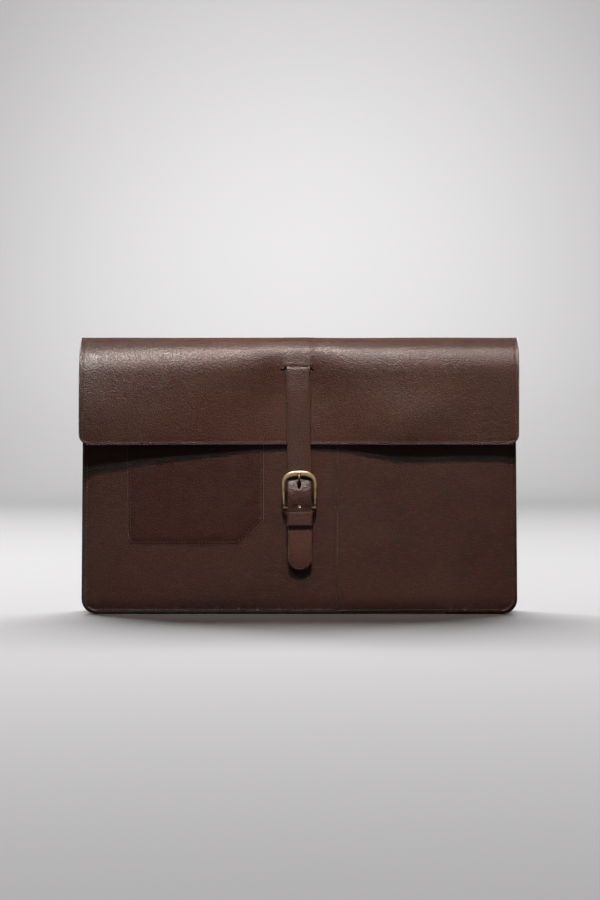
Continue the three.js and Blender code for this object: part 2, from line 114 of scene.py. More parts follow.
SPARE_HOLE = (95.1, 0.8)  # its height and radius

# The heel bar's place, along Y and Z, and the buckle's sizes, its heights measured up from the bar.
HEEL = (-20.2, 92.7)
HEEL_RADIUS = 1.4
BUCKLE_TILT = math.radians(9.5)
BUCKLE_HALF = 15.25
BUCKLE_TOP = 33.4
ARCH_SPRING = 21.1  # where the legs end and the arch begins
ARCH_INNER = (12.4, 7.3)
ARCH_SQUARENESS = 2.6
FRAME_FOOT = -1.2
LUG_TOP = 1.6
PRONG_TIP = 30


# ---- Outlines and lines in two directions ----


def arc(centre, across, up, start, end, steps=8):
    """Points along part of an ellipse, its angles in degrees."""
    turn = np.radians(np.linspace(start, end, steps + 1))
    return np.stack([centre[0] + across * np.cos(turn), centre[1] + up * np.sin(turn)], 1)


def joined(*parts):
    return np.concatenate([np.array(part, float).reshape(-1, 2) for part in parts])


def rectangle(left, low, right, high):
    return joined([(left, low), (right, low), (right, high), (left, high)])


def signed_area(loop):
    """Positive where the outline runs anticlockwise."""
    x, y = loop.T
    return 0.5 * float((x * np.roll(y, -1) - y * np.roll(x, -1)).sum())


def clockwise(loop):
    return loop if signed_area(loop) < 0 else loop[::-1]


def resample(points, step, closed=True):
    """The line with extra points, so that no two are further apart than step."""
    ends = np.roll(points, -1, 0) if closed else points[1:]
    out = []
    for a, b in zip(points, ends):
        count = max(1, math.ceil(np.linalg.norm(b - a) / step))
        out.extend(a + (b - a) * k / count for k in range(count))
    if not closed:
        out.append(points[-1])
    return np.array(out)


def unit(vectors):
    return vectors / np.maximum(np.linalg.norm(vectors, axis=-1, keepdims=True), 1e-12)


def outward(loop):
    """Unit vectors out of a closed outline that runs anticlockwise."""
    along = unit(np.roll(loop, -1, 0) - loop) + unit(loop - np.roll(loop, 1, 0))
    along = unit(along)
    return np.stack([along[:, 1], -along[:, 0]], 1)


def edge_distance(points, loop):
    """How far each point is from the nearest side of a closed outline."""
    start = loop[None]
    side = np.roll(loop, -1, 0)[None] - start
    length = np.maximum((side**2).sum(-1), 1e-12)
    nearest = np.full(len(points), np.inf)
    for first in range(0, len(points), 2000):
        some = points[first : first + 2000, None]
        share = np.clip(((some - start) * side).sum(-1) / length, 0, 1)
        gap = np.linalg.norm(some - start - share[..., None] * side, axis=-1)
        nearest[first : first + 2000] = gap.min(1)
    return nearest


def inside(points, loop):
    """Whether each point lies within a closed outline."""
    x, y = points[:, 0, None], points[:, 1, None]
    ax, ay = loop.T
    bx, by = np.roll(loop, -1, 0).T
    crosses = (ay > y) != (by > y)
    rise = np.where(by == ay, 1e-12, by - ay)
    return (crosses & (x < (bx - ax) * (y - ay) / rise + ax)).sum(1) % 2 == 1


def catmull_rom(points, steps=12):
    """A smooth line through every point."""
    p = np.array(points, float)
    p = np.concatenate([p[:1], p, p[-1:]])
    t = np.linspace(0, 1, steps, endpoint=False)[:, None]
    spans = []
    for a, b, c, d in zip(p, p[1:], p[2:], p[3:]):
        tangent, next_tangent = (c - a) / 2, (d - b) / 2
        cubic = (2 * b - 2 * c + tangent + next_tangent) * t**3
        square = (3 * c - 3 * b - 2 * tangent - next_tangent) * t**2
        spans.append(cubic + square + tangent * t + b)
    return np.concatenate([*spans, p[-1:]])


class Track:
    """A line in a plane, read by the distance along it. Its outside is on its right-hand side."""

    def __init__(self, points):
        self.points = np.array(points, float)
        steps = np.linalg.norm(np.diff(self.points, axis=0), axis=1)
        self.reach = np.concatenate([[0], np.cumsum(steps)])
        along = unit(np.gradient(self.points, axis=0))
        self.out = np.stack([along[:, 1], -along[:, 0]], 1)
        self.length = self.reach[-1]

    def at(self, distance, lift=0):
        first = [np.interp(distance, self.reach, self.points[:, k]) for k in (0, 1)]
        away = [np.interp(distance, self.reach, self.out[:, k]) for k in (0, 1)]
        return first[0] + away[0] * lift, first[1] + away[1] * lift

    def where(self, low, high, column, value):
        """The distance, between two others, at which a coordinate has a value."""
        some = np.linspace(low, high, 2000)
        found = np.interp(some, self.reach, self.points[:, column])
        return some[np.argmin(np.abs(found - value))]


def wobble(u, v, scale, seed=0.0):
    """Smooth noise from -1 to 1 at each place, its features about scale millimetres across."""
    return np.array([noise.noise(Vector((a / scale, b / scale, seed))) for a, b in zip(u, v)])


def bump(value, centre, width):
    return np.exp(-(((value - centre) / width) ** 2))


# ---- Meshes ----

THREAD_STEPS = np.array([0, 0.15, 0.35, 0.65, 0.85, 1])  # where along a stitch its rings are
THREAD_SIDES = 6


def new_object(name, vertices, faces, materials, face_materials=None, smooth_angle=50):
    """A mesh object in metres, from vertices in millimetres, with its faces pointing out."""
    mesh = bpy.data.meshes.new(name)
    mesh.from_pydata((np.asarray(vertices) * MM).tolist(), [], [list(map(int, f)) for f in faces])
    for material in materials:
        mesh.materials.append(material)
    if face_materials is not None:
        mesh.polygons.foreach_set("material_index", np.asarray(face_materials, np.int32))
    shape = bmesh.new()
    shape.from_mesh(mesh)
    bmesh.ops.recalc_face_normals(shape, faces=shape.faces)
    shape.to_mesh(mesh)
    shape.free()
    mesh.polygons.foreach_set("use_smooth", [True] * len(mesh.polygons))
    mesh.set_sharp_from_angle(angle=math.radians(smooth_angle))
    mesh.update()
    thing = bpy.data.objects.new(name, mesh)
    bpy.context.collection.objects.link(thing)
    return thing


def ring_faces(rings, count, closed):
    """The sides of a tube of rings of points: closed on itself, or else with a face at each end."""
    faces = []
    for r in range(rings if closed else rings - 1):
        after = (r + 1) % rings
        for k in range(count):
            nxt = (k + 1) % count
            faces.append((r * count + k, r * count + nxt, after * count + nxt, after * count + k))
    if not closed:
        faces.append(tuple(range(count)))
        faces.append(tuple(range((rings - 1) * count, rings * count)))
    return faces


class Sheet:
    """A piece cut to an outline, with thickness and rounded edges, laid on a surface.

    place(u, v, lift) gives the places in space; outer and inner give the lift of each face,
    from the coordinates and the distance to the outline.
    """

    def __init__(self, outline, place, outer, inner, holes=(), rim=None):
        self.outline = np.array(outline, float)
        self.place = place
        self.outer = outer
        self.inner = inner
        self.holes = [np.array(hole, float) for hole in holes]
        self.rim = self.outline if rim is None else rim

    def lift(self, points, face):
        return face(points[:, 0], points[:, 1], edge_distance(points, self.rim))

    def scatter(self, spacing, bands, border):
        """Places inside the outline: a lattice, and closer rows along the edge."""
        low, high = self.outline.min(0), self.outline.max(0)
        rows = []
        for j, v in enumerate(np.arange(low[1], high[1], spacing * 0.87)):
            u = np.arange(low[0] + (j % 2) * spacing / 2, high[0], spacing)
            rows.append(np.stack([u, np.full(len(u), v)], 1))
        lattice = np.concatenate(rows)
        clear = max(bands, default=border) + spacing * 0.5
        points = [lattice[inside(lattice, self.outline)]]
        points[0] = points[0][edge_distance(points[0], self.outline) > clear]
        for band in bands:
            row = resample(self.outline - outward(self.outline) * band, max(band, 2.2))
            near = edge_distance(row, self.outline)
            points.append(row[(near > band * 0.9) & inside(row, self.outline)])
        points = np.concatenate(points)
        for hole in self.holes:
            apart = edge_distance(points, hole) > border + 0.6
            points = points[apart & ~inside(points, hole)]
        return points

    def flat_mesh(self, loops, spacing, bands, border):
        """The face in its plane, inside its borders: places, triangles, and each border's places in order."""
        borders = [loop - outward(loop) * border for loop in loops]
        rings, sides, first = [], [], 0
        for loop in loops:
            rings.append(range(first, first + len(loop)))
            sides += [(k, k + 1) for k in rings[-1][:-1]] + [(rings[-1][-1], first)]
            first += len(loop)
        points = np.concatenate([*borders, self.scatter(spacing, bands, border)])
        found = delaunay_2d_cdt([Vector(p) for p in points], sides, [], 0, 1e-6)
        flat = np.array([v[:] for v in found[0]])
        renamed = {old: new for new, olds in enumerate(found[3]) for old in olds}
        triangles = np.array([f for f in found[2] if len(f) == 3])
        middle = flat[triangles].mean(1)
        keep = inside(middle, borders[0])
        for hole in borders[1:]:
            keep &= ~inside(middle, hole)
        return flat, triangles[keep], [np.array([renamed[k] for k in ring]) for ring in rings]

    def build(self, name, materials, spacing=4, bands=(), border=0.8, painted=0.0, step=2.5, cut=None):
        """The mesh. Its rounded edge, and the face within painted of it, take the last material,
        and its holes' edges take the materials numbered in cut."""
        loops = [resample(self.outline, step)] + [resample(hole, 0.8) for hole in self.holes]
        flat, triangles, rings = self.flat_mesh(loops, spacing, bands, border)
        count, last = len(flat), len(materials) - 1
        outer, inner = self.lift(flat, self.outer), self.lift(flat, self.inner)
        vertices = [self.place(*flat.T, outer), self.place(*flat.T, inner)]
        faces = [*triangles.tolist(), *(triangles[:, ::-1] + count).tolist()]
        rim = edge_distance(flat[triangles].mean(1), self.rim) < painted
        kinds = [*np.where(rim, last, 0), *np.where(rim, last, last - 1)]

        total = 2 * count
        edge_kinds = [last, *(cut or [last] * len(self.holes))]
        for loop, ring, kind in zip(loops, rings, edge_kinds):
            rows, away = [ring], outward(loop)
            high, low = outer[ring], inner[ring]
            for turn in np.radians((36, 72, 108, 144)):
                spot = flat[ring] + away * border * math.sin(turn)
                lift = (high + low) / 2 + (high - low) / 2 * math.cos(turn)
                vertices.append(self.place(*spot.T, lift))
                rows.append(total + np.arange(len(ring)))
                total += len(ring)
            rows.append(ring + count)
            for a, b in zip(rows, rows[1:]):
                faces += np.stack([a, np.roll(a, -1), np.roll(b, -1), b], 1).tolist()
                kinds += [kind] * len(ring)
        return new_object(name, np.concatenate(vertices), faces, materials, kinds)

    def stitches(self, name, lines, material, pitch, radius):
        """One short thread for each stitch along lines drawn on the sheet, its ends sunk in."""
        length, slant = 0.78 * pitch, 0.12 * pitch
        spots, heads = [], []
        for line in lines:
            track = Track(resample(np.array(line, float), 1, closed=False))
            for start in np.arange(0.3 * pitch, track.length - 0.8 * pitch, pitch):
                u, v = track.at(start + length * THREAD_STEPS)
                spots.append(np.stack([u, v], 1))
                heads.append(unit(spots[-1][-1] - spots[-1][0]))
        spots, heads = np.array(spots), np.array(heads)
        aside = np.stack([-heads[:, 1], heads[:, 0]], 1)[:, None]
        spots = spots + aside * (slant * (THREAD_STEPS - 0.5))[None, :, None]
        flat = spots.reshape(-1, 2)
        rise = np.tile(np.sin(math.pi * THREAD_STEPS), len(spots))
        lift = self.lift(flat, self.outer) + radius * (0.75 * rise - 0.45)
        middle = self.place(*flat.T, lift)
        up = unit(self.place(*flat.T, lift + 1) - middle)
        across = np.repeat(aside[:, 0], len(THREAD_STEPS), 0)
        side = unit(self.place(*(flat + across).T, lift) - middle)
        thick = radius * (0.5 + 0.5 * rise)[:, None, None]
        turn = np.arange(THREAD_SIDES) * 2 * math.pi / THREAD_SIDES
        ring = side[:, None] * np.cos(turn)[None, :, None] + up[:, None] * np.sin(turn)[None, :, None]
        vertices = (middle[:, None] + ring * thick).reshape(-1, 3)
        one = ring_faces(len(THREAD_STEPS), THREAD_SIDES, closed=False)
        bases = range(0, len(vertices), len(THREAD_STEPS) * THREAD_SIDES)
        faces = [tuple(base + k for k in face) for base in bases for face in one]
        return new_object(name, vertices, faces, [material], smooth_angle=70)


def sweep(name, centres, frames, sections, material, closed=False):
    """A tube with a section at each centre, drawn along the two directions of its frame."""
    vertices = centres[:, None] + np.einsum("rpk,rkd->rpd", sections, frames)
    faces = ring_faces(len(centres), sections.shape[1], closed)
    return new_object(name, vertices.reshape(-1, 3), faces, [material])


def squared(turn, power):
    """A circle's two coordinates at some angles, from round at power 2 to square as it grows."""
    return [np.sign(w) * np.abs(w) ** (2 / power) for w in (np.cos(turn), np.sin(turn))]


def superellipse(half_a, half_b, power, count):
    """A closed section between round and square."""
    a, b = squared(np.arange(count) * 2 * math.pi / count, power)
    return np.stack([half_a * a, half_b * b], 1)


def lathe(name, profile, material, sides=48):
    """A turned piece about the Y axis, from a closed profile of radius and place along Y."""
    turn = np.arange(sides) * 2 * math.pi / sides
    profile = np.array(profile, float)
    across = np.stack([np.cos(turn), np.zeros(sides), np.sin(turn)], 1)
    points = profile[:, None, :1] * across + profile[:, None, 1:] * np.array([0, 1, 0])
    faces = ring_faces(len(profile), sides, closed=True)
    return new_object(name, points.reshape(-1, 3), faces, [material], smooth_angle=35)


def fuse(name, parts, voxel, material):
    """Several overlapping solids made into one smooth casting."""
    for part in parts:
        part.select_set(False)
    with bpy.context.temp_override(active_object=parts[0], selected_editable_objects=parts):
        bpy.ops.object.join()
    whole = parts[0]
    whole.name = name
    remesh = whole.modifiers.new("remesh", "REMESH")
    remesh.mode = "VOXEL"
    remesh.voxel_size = voxel * MM
    smooth = whole.modifiers.new("smooth", "SMOOTH")
    smooth.factor = 0.5
    smooth.iterations = 4
    graph = bpy.context.evaluated_depsgraph_get()
    mesh = bpy.data.meshes.new_from_object(whole.evaluated_get(graph))
    whole.modifiers.clear()
    whole.data = mesh
    mesh.name = name
    mesh.materials.clear()
    mesh.materials.append(material)
    mesh.polygons.foreach_set("use_smooth", [True] * len(mesh.polygons))
    return whole


def recoloured(thing, material, chosen):
    """Gives a second material to the faces chosen by their middles, in millimetres."""
    thing.data.materials.append(material)
    for face in thing.data.polygons:
        face.material_index = int(chosen(face.center / MM))
    return thing


def moved(thing, matrix):
    """Moves a piece's mesh by a matrix in millimetres, leaving its object at the origin."""
    scaled = matrix.copy()
    scaled.translation *= MM
    thing.data.transform(scaled)
    thing.data.update()
    return thing


# ---- Materials ----


def shade(colour, share):
    """A colour times a number, or times one for each of its channels."""
    return tuple(np.multiply(colour, share))


class Nodes:
    """A material's node tree, with short calls to add to it."""

    def __init__(self, name):
        self.material = bpy.data.materials.new(name)
        self.material.use_nodes = True
        self.tree = self.material.node_tree
        self.shader = self.tree.nodes["Principled BSDF"]
        self.place = self.add("ShaderNodeTexCoord").outputs["Object"]

    def add(self, kind, **settings):
        node = self.tree.nodes.new(kind)
        for key, value in settings.items():
            setattr(node, key, value)
        return node

    def link(self, output, target):
        self.tree.links.new(output, target)

    def stretched(self, scale):
        node = self.add("ShaderNodeMapping")
        node.inputs["Scale"].default_value = scale
        self.link(self.place, node.inputs["Vector"])
        return node.outputs["Vector"]

    def height(self):
        """How high each place is, in metres."""
        node = self.add("ShaderNodeSeparateXYZ")
        self.link(self.place, node.inputs[0])
        return node.outputs["Z"]

    def noise(self, scale, detail=3.0, vector=None, roughness=0.5):
        node = self.add("ShaderNodeTexNoise")
        node.inputs["Scale"].default_value = scale
        node.inputs["Detail"].default_value = detail
        node.inputs["Roughness"].default_value = roughness
        self.link(vector or self.place, node.inputs["Vector"])
        return node.outputs["Fac"]

    def cells(self, scale, feature="F1", vector=None):
        node = self.add("ShaderNodeTexVoronoi", feature=feature)
        node.inputs["Scale"].default_value = scale
        self.link(vector or self.place, node.inputs["Vector"])
        return node.outputs["Distance"]

    def ramp(self, value, low, high, out_low=0.0, out_high=1.0):
        node = self.add("ShaderNodeMapRange")
        keys = ("From Min", "From Max", "To Min", "To Max")
        for key, number in zip(keys, (low, high, out_low, out_high)):
            node.inputs[key].default_value = number
        self.link(value, node.inputs["Value"])
        return node.outputs["Result"]

    def mix(self, factor, first, second):
        """Mixes two colours; each is a colour or a socket."""
        node = self.add("ShaderNodeMix", data_type="RGBA")
        self.link(factor, node.inputs["Factor"])
        for socket, value in ((node.inputs[6], first), (node.inputs[7], second)):
            if isinstance(value, (tuple, list)):
                socket.default_value = (*value, 1)
            else:
                self.link(value, socket)
        return node.outputs[2]

    def below(self, top, depth, share, base, tint):
        """Tints what is lower than a height, the tint growing to its share over a depth."""
        fade = self.ramp(self.height(), (top - depth) * MM, top * MM, share, 0)
        return self.mix(fade, base, tint)

    def sum(self, first, second, share=1.0):
        node = self.add("ShaderNodeMath", operation="MULTIPLY_ADD")
        self.link(second, node.inputs[0])
        node.inputs[1].default_value = share
        self.link(first, node.inputs[2])
        return node.outputs["Value"]

    def bumped(self, height, strength, distance):
        node = self.add("ShaderNodeBump")
        node.inputs["Strength"].default_value = strength
        node.inputs["Distance"].default_value = distance * MM
        self.link(height, node.inputs["Height"])
        self.link(node.outputs["Normal"], self.shader.inputs["Normal"])

    def finish(self, **values):
        names = {
            "colour": "Base Color", "roughness": "Roughness", "specular": "Specular IOR Level",
            "metal": "Metallic", "coat": "Coat Weight", "coat_roughness": "Coat Roughness",
            "sheen": "Sheen Weight", "sheen_roughness": "Sheen Roughness",
        }
        for key, value in values.items():
            socket = self.shader.inputs[names[key]]
            if isinstance(value, (int, float)):
                socket.default_value = value
            elif isinstance(value, (tuple, list)):
                socket.default_value = (*value, 1)
            else:
                self.link(value, socket)
        return self.material


PALE_FADE_DEPTH = 34  # the fade from the paler leather below, partly painted light, to its plain colour, in millimetres


def leather(name, colour, red=0.35, gloss=0.0, grain=1.0, shade_below=None, worn_and_lit_below=None):
    """Fine-grained leather: mottled dye, pebbles about a millimetre wide, creases between them.

    shade_below is the height, in millimetres, below which it is painted darker, a painted shade towards
    the base, and worn_and_lit_below the height below which it is painted paler, a painted light.
    """
    n = Nodes(name)
    dark, pale = shade(colour, 0.6), shade(colour, 1.35)
    ruddy = shade(colour, (1.16, 0.78, 0.74))
    base = n.mix(n.ramp(n.noise(26, 4, n.stretched((0.6, 1, 1.25))), 0.36, 0.6), dark, colour)
    streaks = n.noise(420, 4, n.stretched((0.4, 1, 1.4)))
    pebbles = n.cells(1050, "SMOOTH_F1")
    pores = n.ramp(n.cells(560), 0.0, 0.18, 1, 0)
    for pattern, low, high, share, tint in (
        (n.noise(11, 2), 0.42, 0.62, 0.5, dark),
        (n.noise(19, 4), 0.44, 0.6, red, ruddy),
        (n.noise(13, 3), 0.5, 0.68, 0.65, pale),
        (streaks, 0.46, 0.68, 0.85, pale),
        (pebbles, 0.3, 0.62, 0.7, dark),
    ):
        base = n.mix(n.ramp(pattern, low, high, 0, share), base, tint)
    # painted light: paler below a height, where the strap's tail leans in and turns from the light
    if worn_and_lit_below:
        base = n.below(worn_and_lit_below, PALE_FADE_DEPTH, 0.9, base, shade(colour, 1.8))
    # painted shade: darker towards the base, where the sleeve's lower part turns away from the light
    if shade_below:
        base = n.below(shade_below, 0.75 * shade_below, 0.62, base, shade(colour, 0.35))
    height = n.sum(n.ramp(pebbles, 0.05, 0.6, 1, 0), n.noise(1900, 2), 0.5)
    height = n.sum(height, pores, -0.5)
    height = n.sum(height, n.noise(520, 3, n.stretched((0.5, 1, 1.2))), 0.8)
    n.bumped(height, 0.75 * grain, 0.2)
    rough = n.ramp(n.noise(160, 3), 0.3, 0.7, 0.35 - gloss, 0.46 - gloss)
    return n.finish(colour=base, roughness=rough, specular=0.3)


def edge_paint(name, colour, roughness, coat=0.15, worn_and_lit_below=None):
    """Burnished and painted cut edge: nearly smooth, with a few drawn ridges.

    worn_and_lit_below is the height, in millimetres, below which it is paler: a burnished edge, brightened
    further as painted light.
    """
    n = Nodes(name)
    base = n.mix(n.ramp(n.noise(180, 3), 0.35, 0.7), shade(colour, 0.7), colour)
    # paler below a height: burnished, and partly painted light
    if worn_and_lit_below:
        base = n.below(worn_and_lit_below, PALE_FADE_DEPTH, 0.9, base, shade(colour, 3.8))
    n.bumped(n.noise(700, 3, n.stretched((0.3, 1, 0.3))), 0.35, 0.12)
    return n.finish(colour=base, roughness=roughness, coat=coat, coat_roughness=0.3)


def thread(name, colour):
    """Waxed, twisted sewing thread."""
    n = Nodes(name)
    wave = n.add("ShaderNodeTexWave", wave_type="BANDS", bands_direction="DIAGONAL")
    wave.inputs["Scale"].default_value = 620
    n.link(n.place, wave.inputs["Vector"])
    base = n.mix(wave.outputs["Fac"], shade(colour, 0.65), colour)
    n.bumped(wave.outputs["Fac"], 0.5, 0.08)
    return n.finish(colour=base, roughness=0.55, sheen=0.15)


def suede(name, colour):
    """Short-napped microfibre with brushed patches."""
    n = Nodes(name)
    nap = n.noise(900, 4)
    base = n.mix(n.ramp(n.noise(45, 4), 0.35, 0.65), shade(colour, 0.75), colour)
    base = n.mix(n.ramp(nap, 0.4, 0.7, 0, 0.45), base, shade(colour, 1.35))
    n.bumped(n.sum(nap, n.noise(2600, 2), 0.6), 0.5, 0.12)
    return n.finish(colour=base, roughness=0.92, sheen=0.35, sheen_roughness=0.5, specular=0.25)


def brass(name, colour, roughness=0.3, shaded_below=None):
    """Antique metal: worn bright on a satin ground, with patina in patches.

    shaded_below is the height, in millimetres, below which it is painted near black, as painted shade.
    """
    n = Nodes(name)
    patina = n.ramp(n.noise(260, 4), 0.46, 0.72, 0, 0.85)
    base = n.mix(patina, colour, shade(colour, (0.48, 0.42, 0.36)))
    # painted shade: near black below a height, where the frame's lower corners and the prong's shank lie in
    # shade
    if shaded_below:
        base = n.below(shaded_below, 2, 1, base, shade(colour, 0.07))
    scratches = n.noise(1500, 3, n.stretched((1, 1, 0.2)))
    n.bumped(n.sum(scratches, n.noise(500, 3), 0.6), 0.16, 0.06)
    rough = n.ramp(n.noise(420, 3), 0.3, 0.7, roughness - 0.05, roughness + 0.14)
    return n.finish(colour=base, roughness=rough, metal=1.0)


def foam(name):
    """Closed-cell foam."""
    n = Nodes(name)
    cells = n.cells(1400)
    base = n.mix(n.ramp(cells, 0.1, 0.6), (0.012, 0.012, 0.013), (0.05, 0.05, 0.052))
    n.bumped(cells, 0.6, 0.2)
    return n.finish(colour=base, roughness=0.9)


def board_material(name):
    """Bonded leather board, with pressed fibres."""
    n = Nodes(name)
    fibres = n.noise(520, 5, n.stretched((0.4, 1, 1)), 0.7)
    base = n.mix(n.ramp(fibres, 0.35, 0.7), (0.09, 0.06, 0.036), (0.19, 0.13, 0.085))
    n.bumped(fibres, 0.4, 0.15)
    return n.finish(colour=base, roughness=0.8)


# painted shade: the shell leather darkens below 17 mm, towards the base
SHELL = leather("shell_leather", (0.050, 0.0198, 0.0128), 0.6, shade_below=17)
POCKET = leather("pocket_leather", (0.0375, 0.0113, 0.0066), 0.6)
FLAP = leather("flap_leather", (0.0515, 0.0185, 0.0112), 0.6, 0.03, 1.1)
# painted light: the strap is paler below 95 mm, over its tail
STRAP = leather("strap_leather", (0.056, 0.0225, 0.016), 0.4, 0.02, 1.3, worn_and_lit_below=95)
# near-black edge paint; on the panels' rolled rims, the keeper's rims and the flap's slot it is also painted
# shade
EDGE = edge_paint("edge_paint", (0.009, 0.0048, 0.0037), 0.72, coat=0)
# pale edge paint: a burnished edge, and a painted highlight along the flap's rim; also the card pocket's pale
# tack
FLAP_EDGE_SHEEN = edge_paint("flap_edge_paint_and_sheen", (0.17, 0.11, 0.09), 0.4)
# pale edge paint: the pocket's burnished edge, partly a painted highlight along it
POCKET_EDGE_SHEEN = edge_paint("pocket_edge_paint_and_sheen", (0.085, 0.047, 0.036), 0.45)
# the strap's edge is paler below 90 mm: burnished, and partly painted light
STRAP_EDGE = edge_paint("strap_edge_paint", (0.07, 0.036, 0.028), 0.45, worn_and_lit_below=90)
# the leather's pale undyed core, made bright enough to stand as a painted highlight in the spare hole
RAW_CORE_GLINT = edge_paint("raw_core_and_glint", (0.78, 0.62, 0.5), 0.6)
THREAD = thread("thread", (0.026, 0.0115, 0.008))
THREAD_PALE = thread("pale_thread", (0.07, 0.038, 0.029))
LINING = suede("lining", (0.105, 0.078, 0.058))
# painted shade: near black below 97.5 mm, at the frame's lower corners
BRASS = brass("brass", (0.54, 0.41, 0.25), 0.36, shaded_below=97.5)
# a paler copy of the brass: painted highlight on the prong's ring, which glints through the spare hole
GLINT_BRASS = brass("painted_glint_brass", (0.62, 0.5, 0.33), 0.42)
# a near-black copy of the brass: painted shade on the frame's lugs and the heel bar behind the leather
SHADED_BRASS = brass("painted_shade_brass", (0.05, 0.036, 0.022), 0.6)
# painted shade: near black below 120 mm, along the prong's shank under the strap
PRONG_BRASS = brass("prong_brass", (0.54, 0.41, 0.25), 0.36, shaded_below=120)
STEEL = brass("steel", (0.5, 0.48, 0.45), 0.26)
FOAM = foam("foam")
BOARD = board_material("board")


# ---- Sleeve: panels, gusset, pockets and inside ----


def half_width_at(height):
    """Half the sleeve's width at a height above its rounded base."""
    return HALF_WIDTH - SIDE_TAPER * (height - BASE_RADIUS) / (HEIGHT - BASE_RADIUS)


def pouch_outline(inset, top):
    """The sleeve's front outline, inset all round: square at the top, rounded at the base."""
    half, radius = HALF_WIDTH - inset, max(BASE_RADIUS - inset, 1)
    low = inset + radius
    left = arc((radius - half, low), radius, radius, 180, 270)
    right = arc((half - radius, low), radius, radius, 270, 360)
    upper = half_width_at(top) - inset
    return joined([(-upper, top)], left, right, [(upper, top)])


BODY_RIM = pouch_outline(0, HEIGHT + 200)  # its top far off, so that only sides and base roll
SEAM_BANDS = (0.7, 1.3, 2, 2.7, 3.1, 3.5, 3.9, 4.5, 6, 9)
SEAM_LINE = SEAM_INSET + 0.6
SHELL_ROWS = [SHELL, LINING, EDGE]
STRAP_ROWS = [STRAP, STRAP, STRAP_EDGE]
BEYOND_EDGE = 50  # a distance from an edge at which nothing of the edge is felt


def rolled(d):
    """How far a panel's face stands out: rolled back at the rim, pressed in at the seam."""
    share = np.clip(1 - d / RIM_ROLL, 0, 1)
    roll = -RIM_DROP * (1 - np.sqrt(1 - share**2))
    seam = 0.26 * bump(d, RIM_ROLL, 0.6) - 0.36 * bump(d, SEAM_INSET + 0.7, 0.7)
    pad = PUFF * (1 - np.exp(-np.clip(d - SEAM_INSET, 0, None) / 9))
    return roll + seam + pad


def front_lift(u, v, d):
    return rolled(d) + 0.16 * wobble(u, v, 46, 3.1) * np.clip(d / 20, 0, 1)


def back_lift(u, v, d):
    """Swelling softly, and held in flat where the end of the flap is sewn over it."""
    release = 16
    free = np.clip((BAND_BOTTOM - 1 - v) / release, 0, 1)
    free = free * free * (3 - 2 * free)
    swell = 1.4 * np.clip(d / 60, 0, 1) ** 0.7 + 0.3 * wobble(u, v, 60, 8.7) * np.clip(d / 20, 0, 1)
    return rolled(d) + swell * free - PUFF * (1 - free)


def upright(start, side):
    """Places on an upright plane, lifted forwards for side -1 and backwards for side 1."""
    return lambda u, v, lift: np.stack([u, start + side * lift, v], 1)


front_place = upright(FRONT_FACE, -1)
back_place = upright(BACK_FACE, 1)


def under(face, thickness):
    """The inner face that keeps a thickness below an outer one."""
    return lambda u, v, d: face(u, v, d) - thickness


def level(lift):
    """A flat face."""
    return lambda u, v, d: np.full(len(u), float(lift))


def dressed(thing, body, slot, *nodes):
    """Puts a finished piece on its body, in place of CAD nodes."""
    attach(thing, body)
    if nodes:
        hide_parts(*nodes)
    return thing


def sew(sheet, piece, slot, *seams):
    """Stitches along lines on a sheet; a seam is its name, line, thread, pitch and radius."""
    for name, line, material, pitch, radius in seams:
        thing = sheet.stitches(f"{piece}_{name}", [line], material, pitch, radius)
        dressed(thing, "bag", slot)


def make_panels():
    sheets = {}
    for side, top, place, face in (
        ("front", FRONT_TOP, front_place, front_lift),
        ("back", BACK_TOP, back_place, back_lift),
    ):
        sheet = Sheet(pouch_outline(0, top), place, face, under(face, PANEL_LEATHER), rim=BODY_RIM)
        # the face within 2.75 mm of the rim takes the near-black edge paint: edge paint, and painted shade
        # where the rim rolls under
        thing = sheet.build(side + "_leather", SHELL_ROWS, bands=SEAM_BANDS, painted=2.75)
        dressed(thing, "bag", "shell_leather", side + "_panel")
        sheets[side] = sheet
    for side, seam_top in (("front", FRONT_TOP), ("back", BACK_TOP - 8)):
        line = pouch_outline(SEAM_LINE, seam_top)
        sew(sheets[side], side, "shell_leather", ("seam", line, THREAD, 3.4, 0.3))


def make_gusset():
    """The strip round the sides and base, drawn in a little between its two seams."""
    line = pouch_outline(1.0, GUSSET_TOP)
    track = Track(resample(line, 1.5, closed=False))
    half = BACK_FACE - RIM_DROP - 1.5

    def place(u, v, lift):
        x, z = track.at(v, lift)
        return np.stack([x, u, z], 1)

    def lift(u, v, d):
        tuck = -1.2 * bump(np.abs(u), half, 1.1)
        return tuck - 1.1 * np.cos(u / half * math.pi / 2) ** 2 + 0.12 * wobble(u, v, 22, 1.7)

    sheet = Sheet(rectangle(-half, 0, half, track.length), place, lift, under(lift, 1.6))
    thing = sheet.build("gusset_leather", SHELL_ROWS, spacing=3.2, bands=(0.8, 1.8, 3), border=0.6)
    dressed(thing, "bag", "shell_leather", "gusset")


def pocket_sheet(outline):
    """A patch that follows the front panel's face, thin at its edge and pressed in at its seam."""
    thickness = 0.8

    def outer(u, v, d):
        ground = front_lift(u, v, edge_distance(np.stack([u, v], 1), BODY_RIM))
        return ground + 0.15 + (thickness - 0.1) * (1 - np.exp(-d / 2.5)) - 0.2 * bump(d, 2.4, 0.5)

    return Sheet(outline, front_place, outer, lambda u, v, d: outer(u, v, d + BEYOND_EDGE) - thickness)


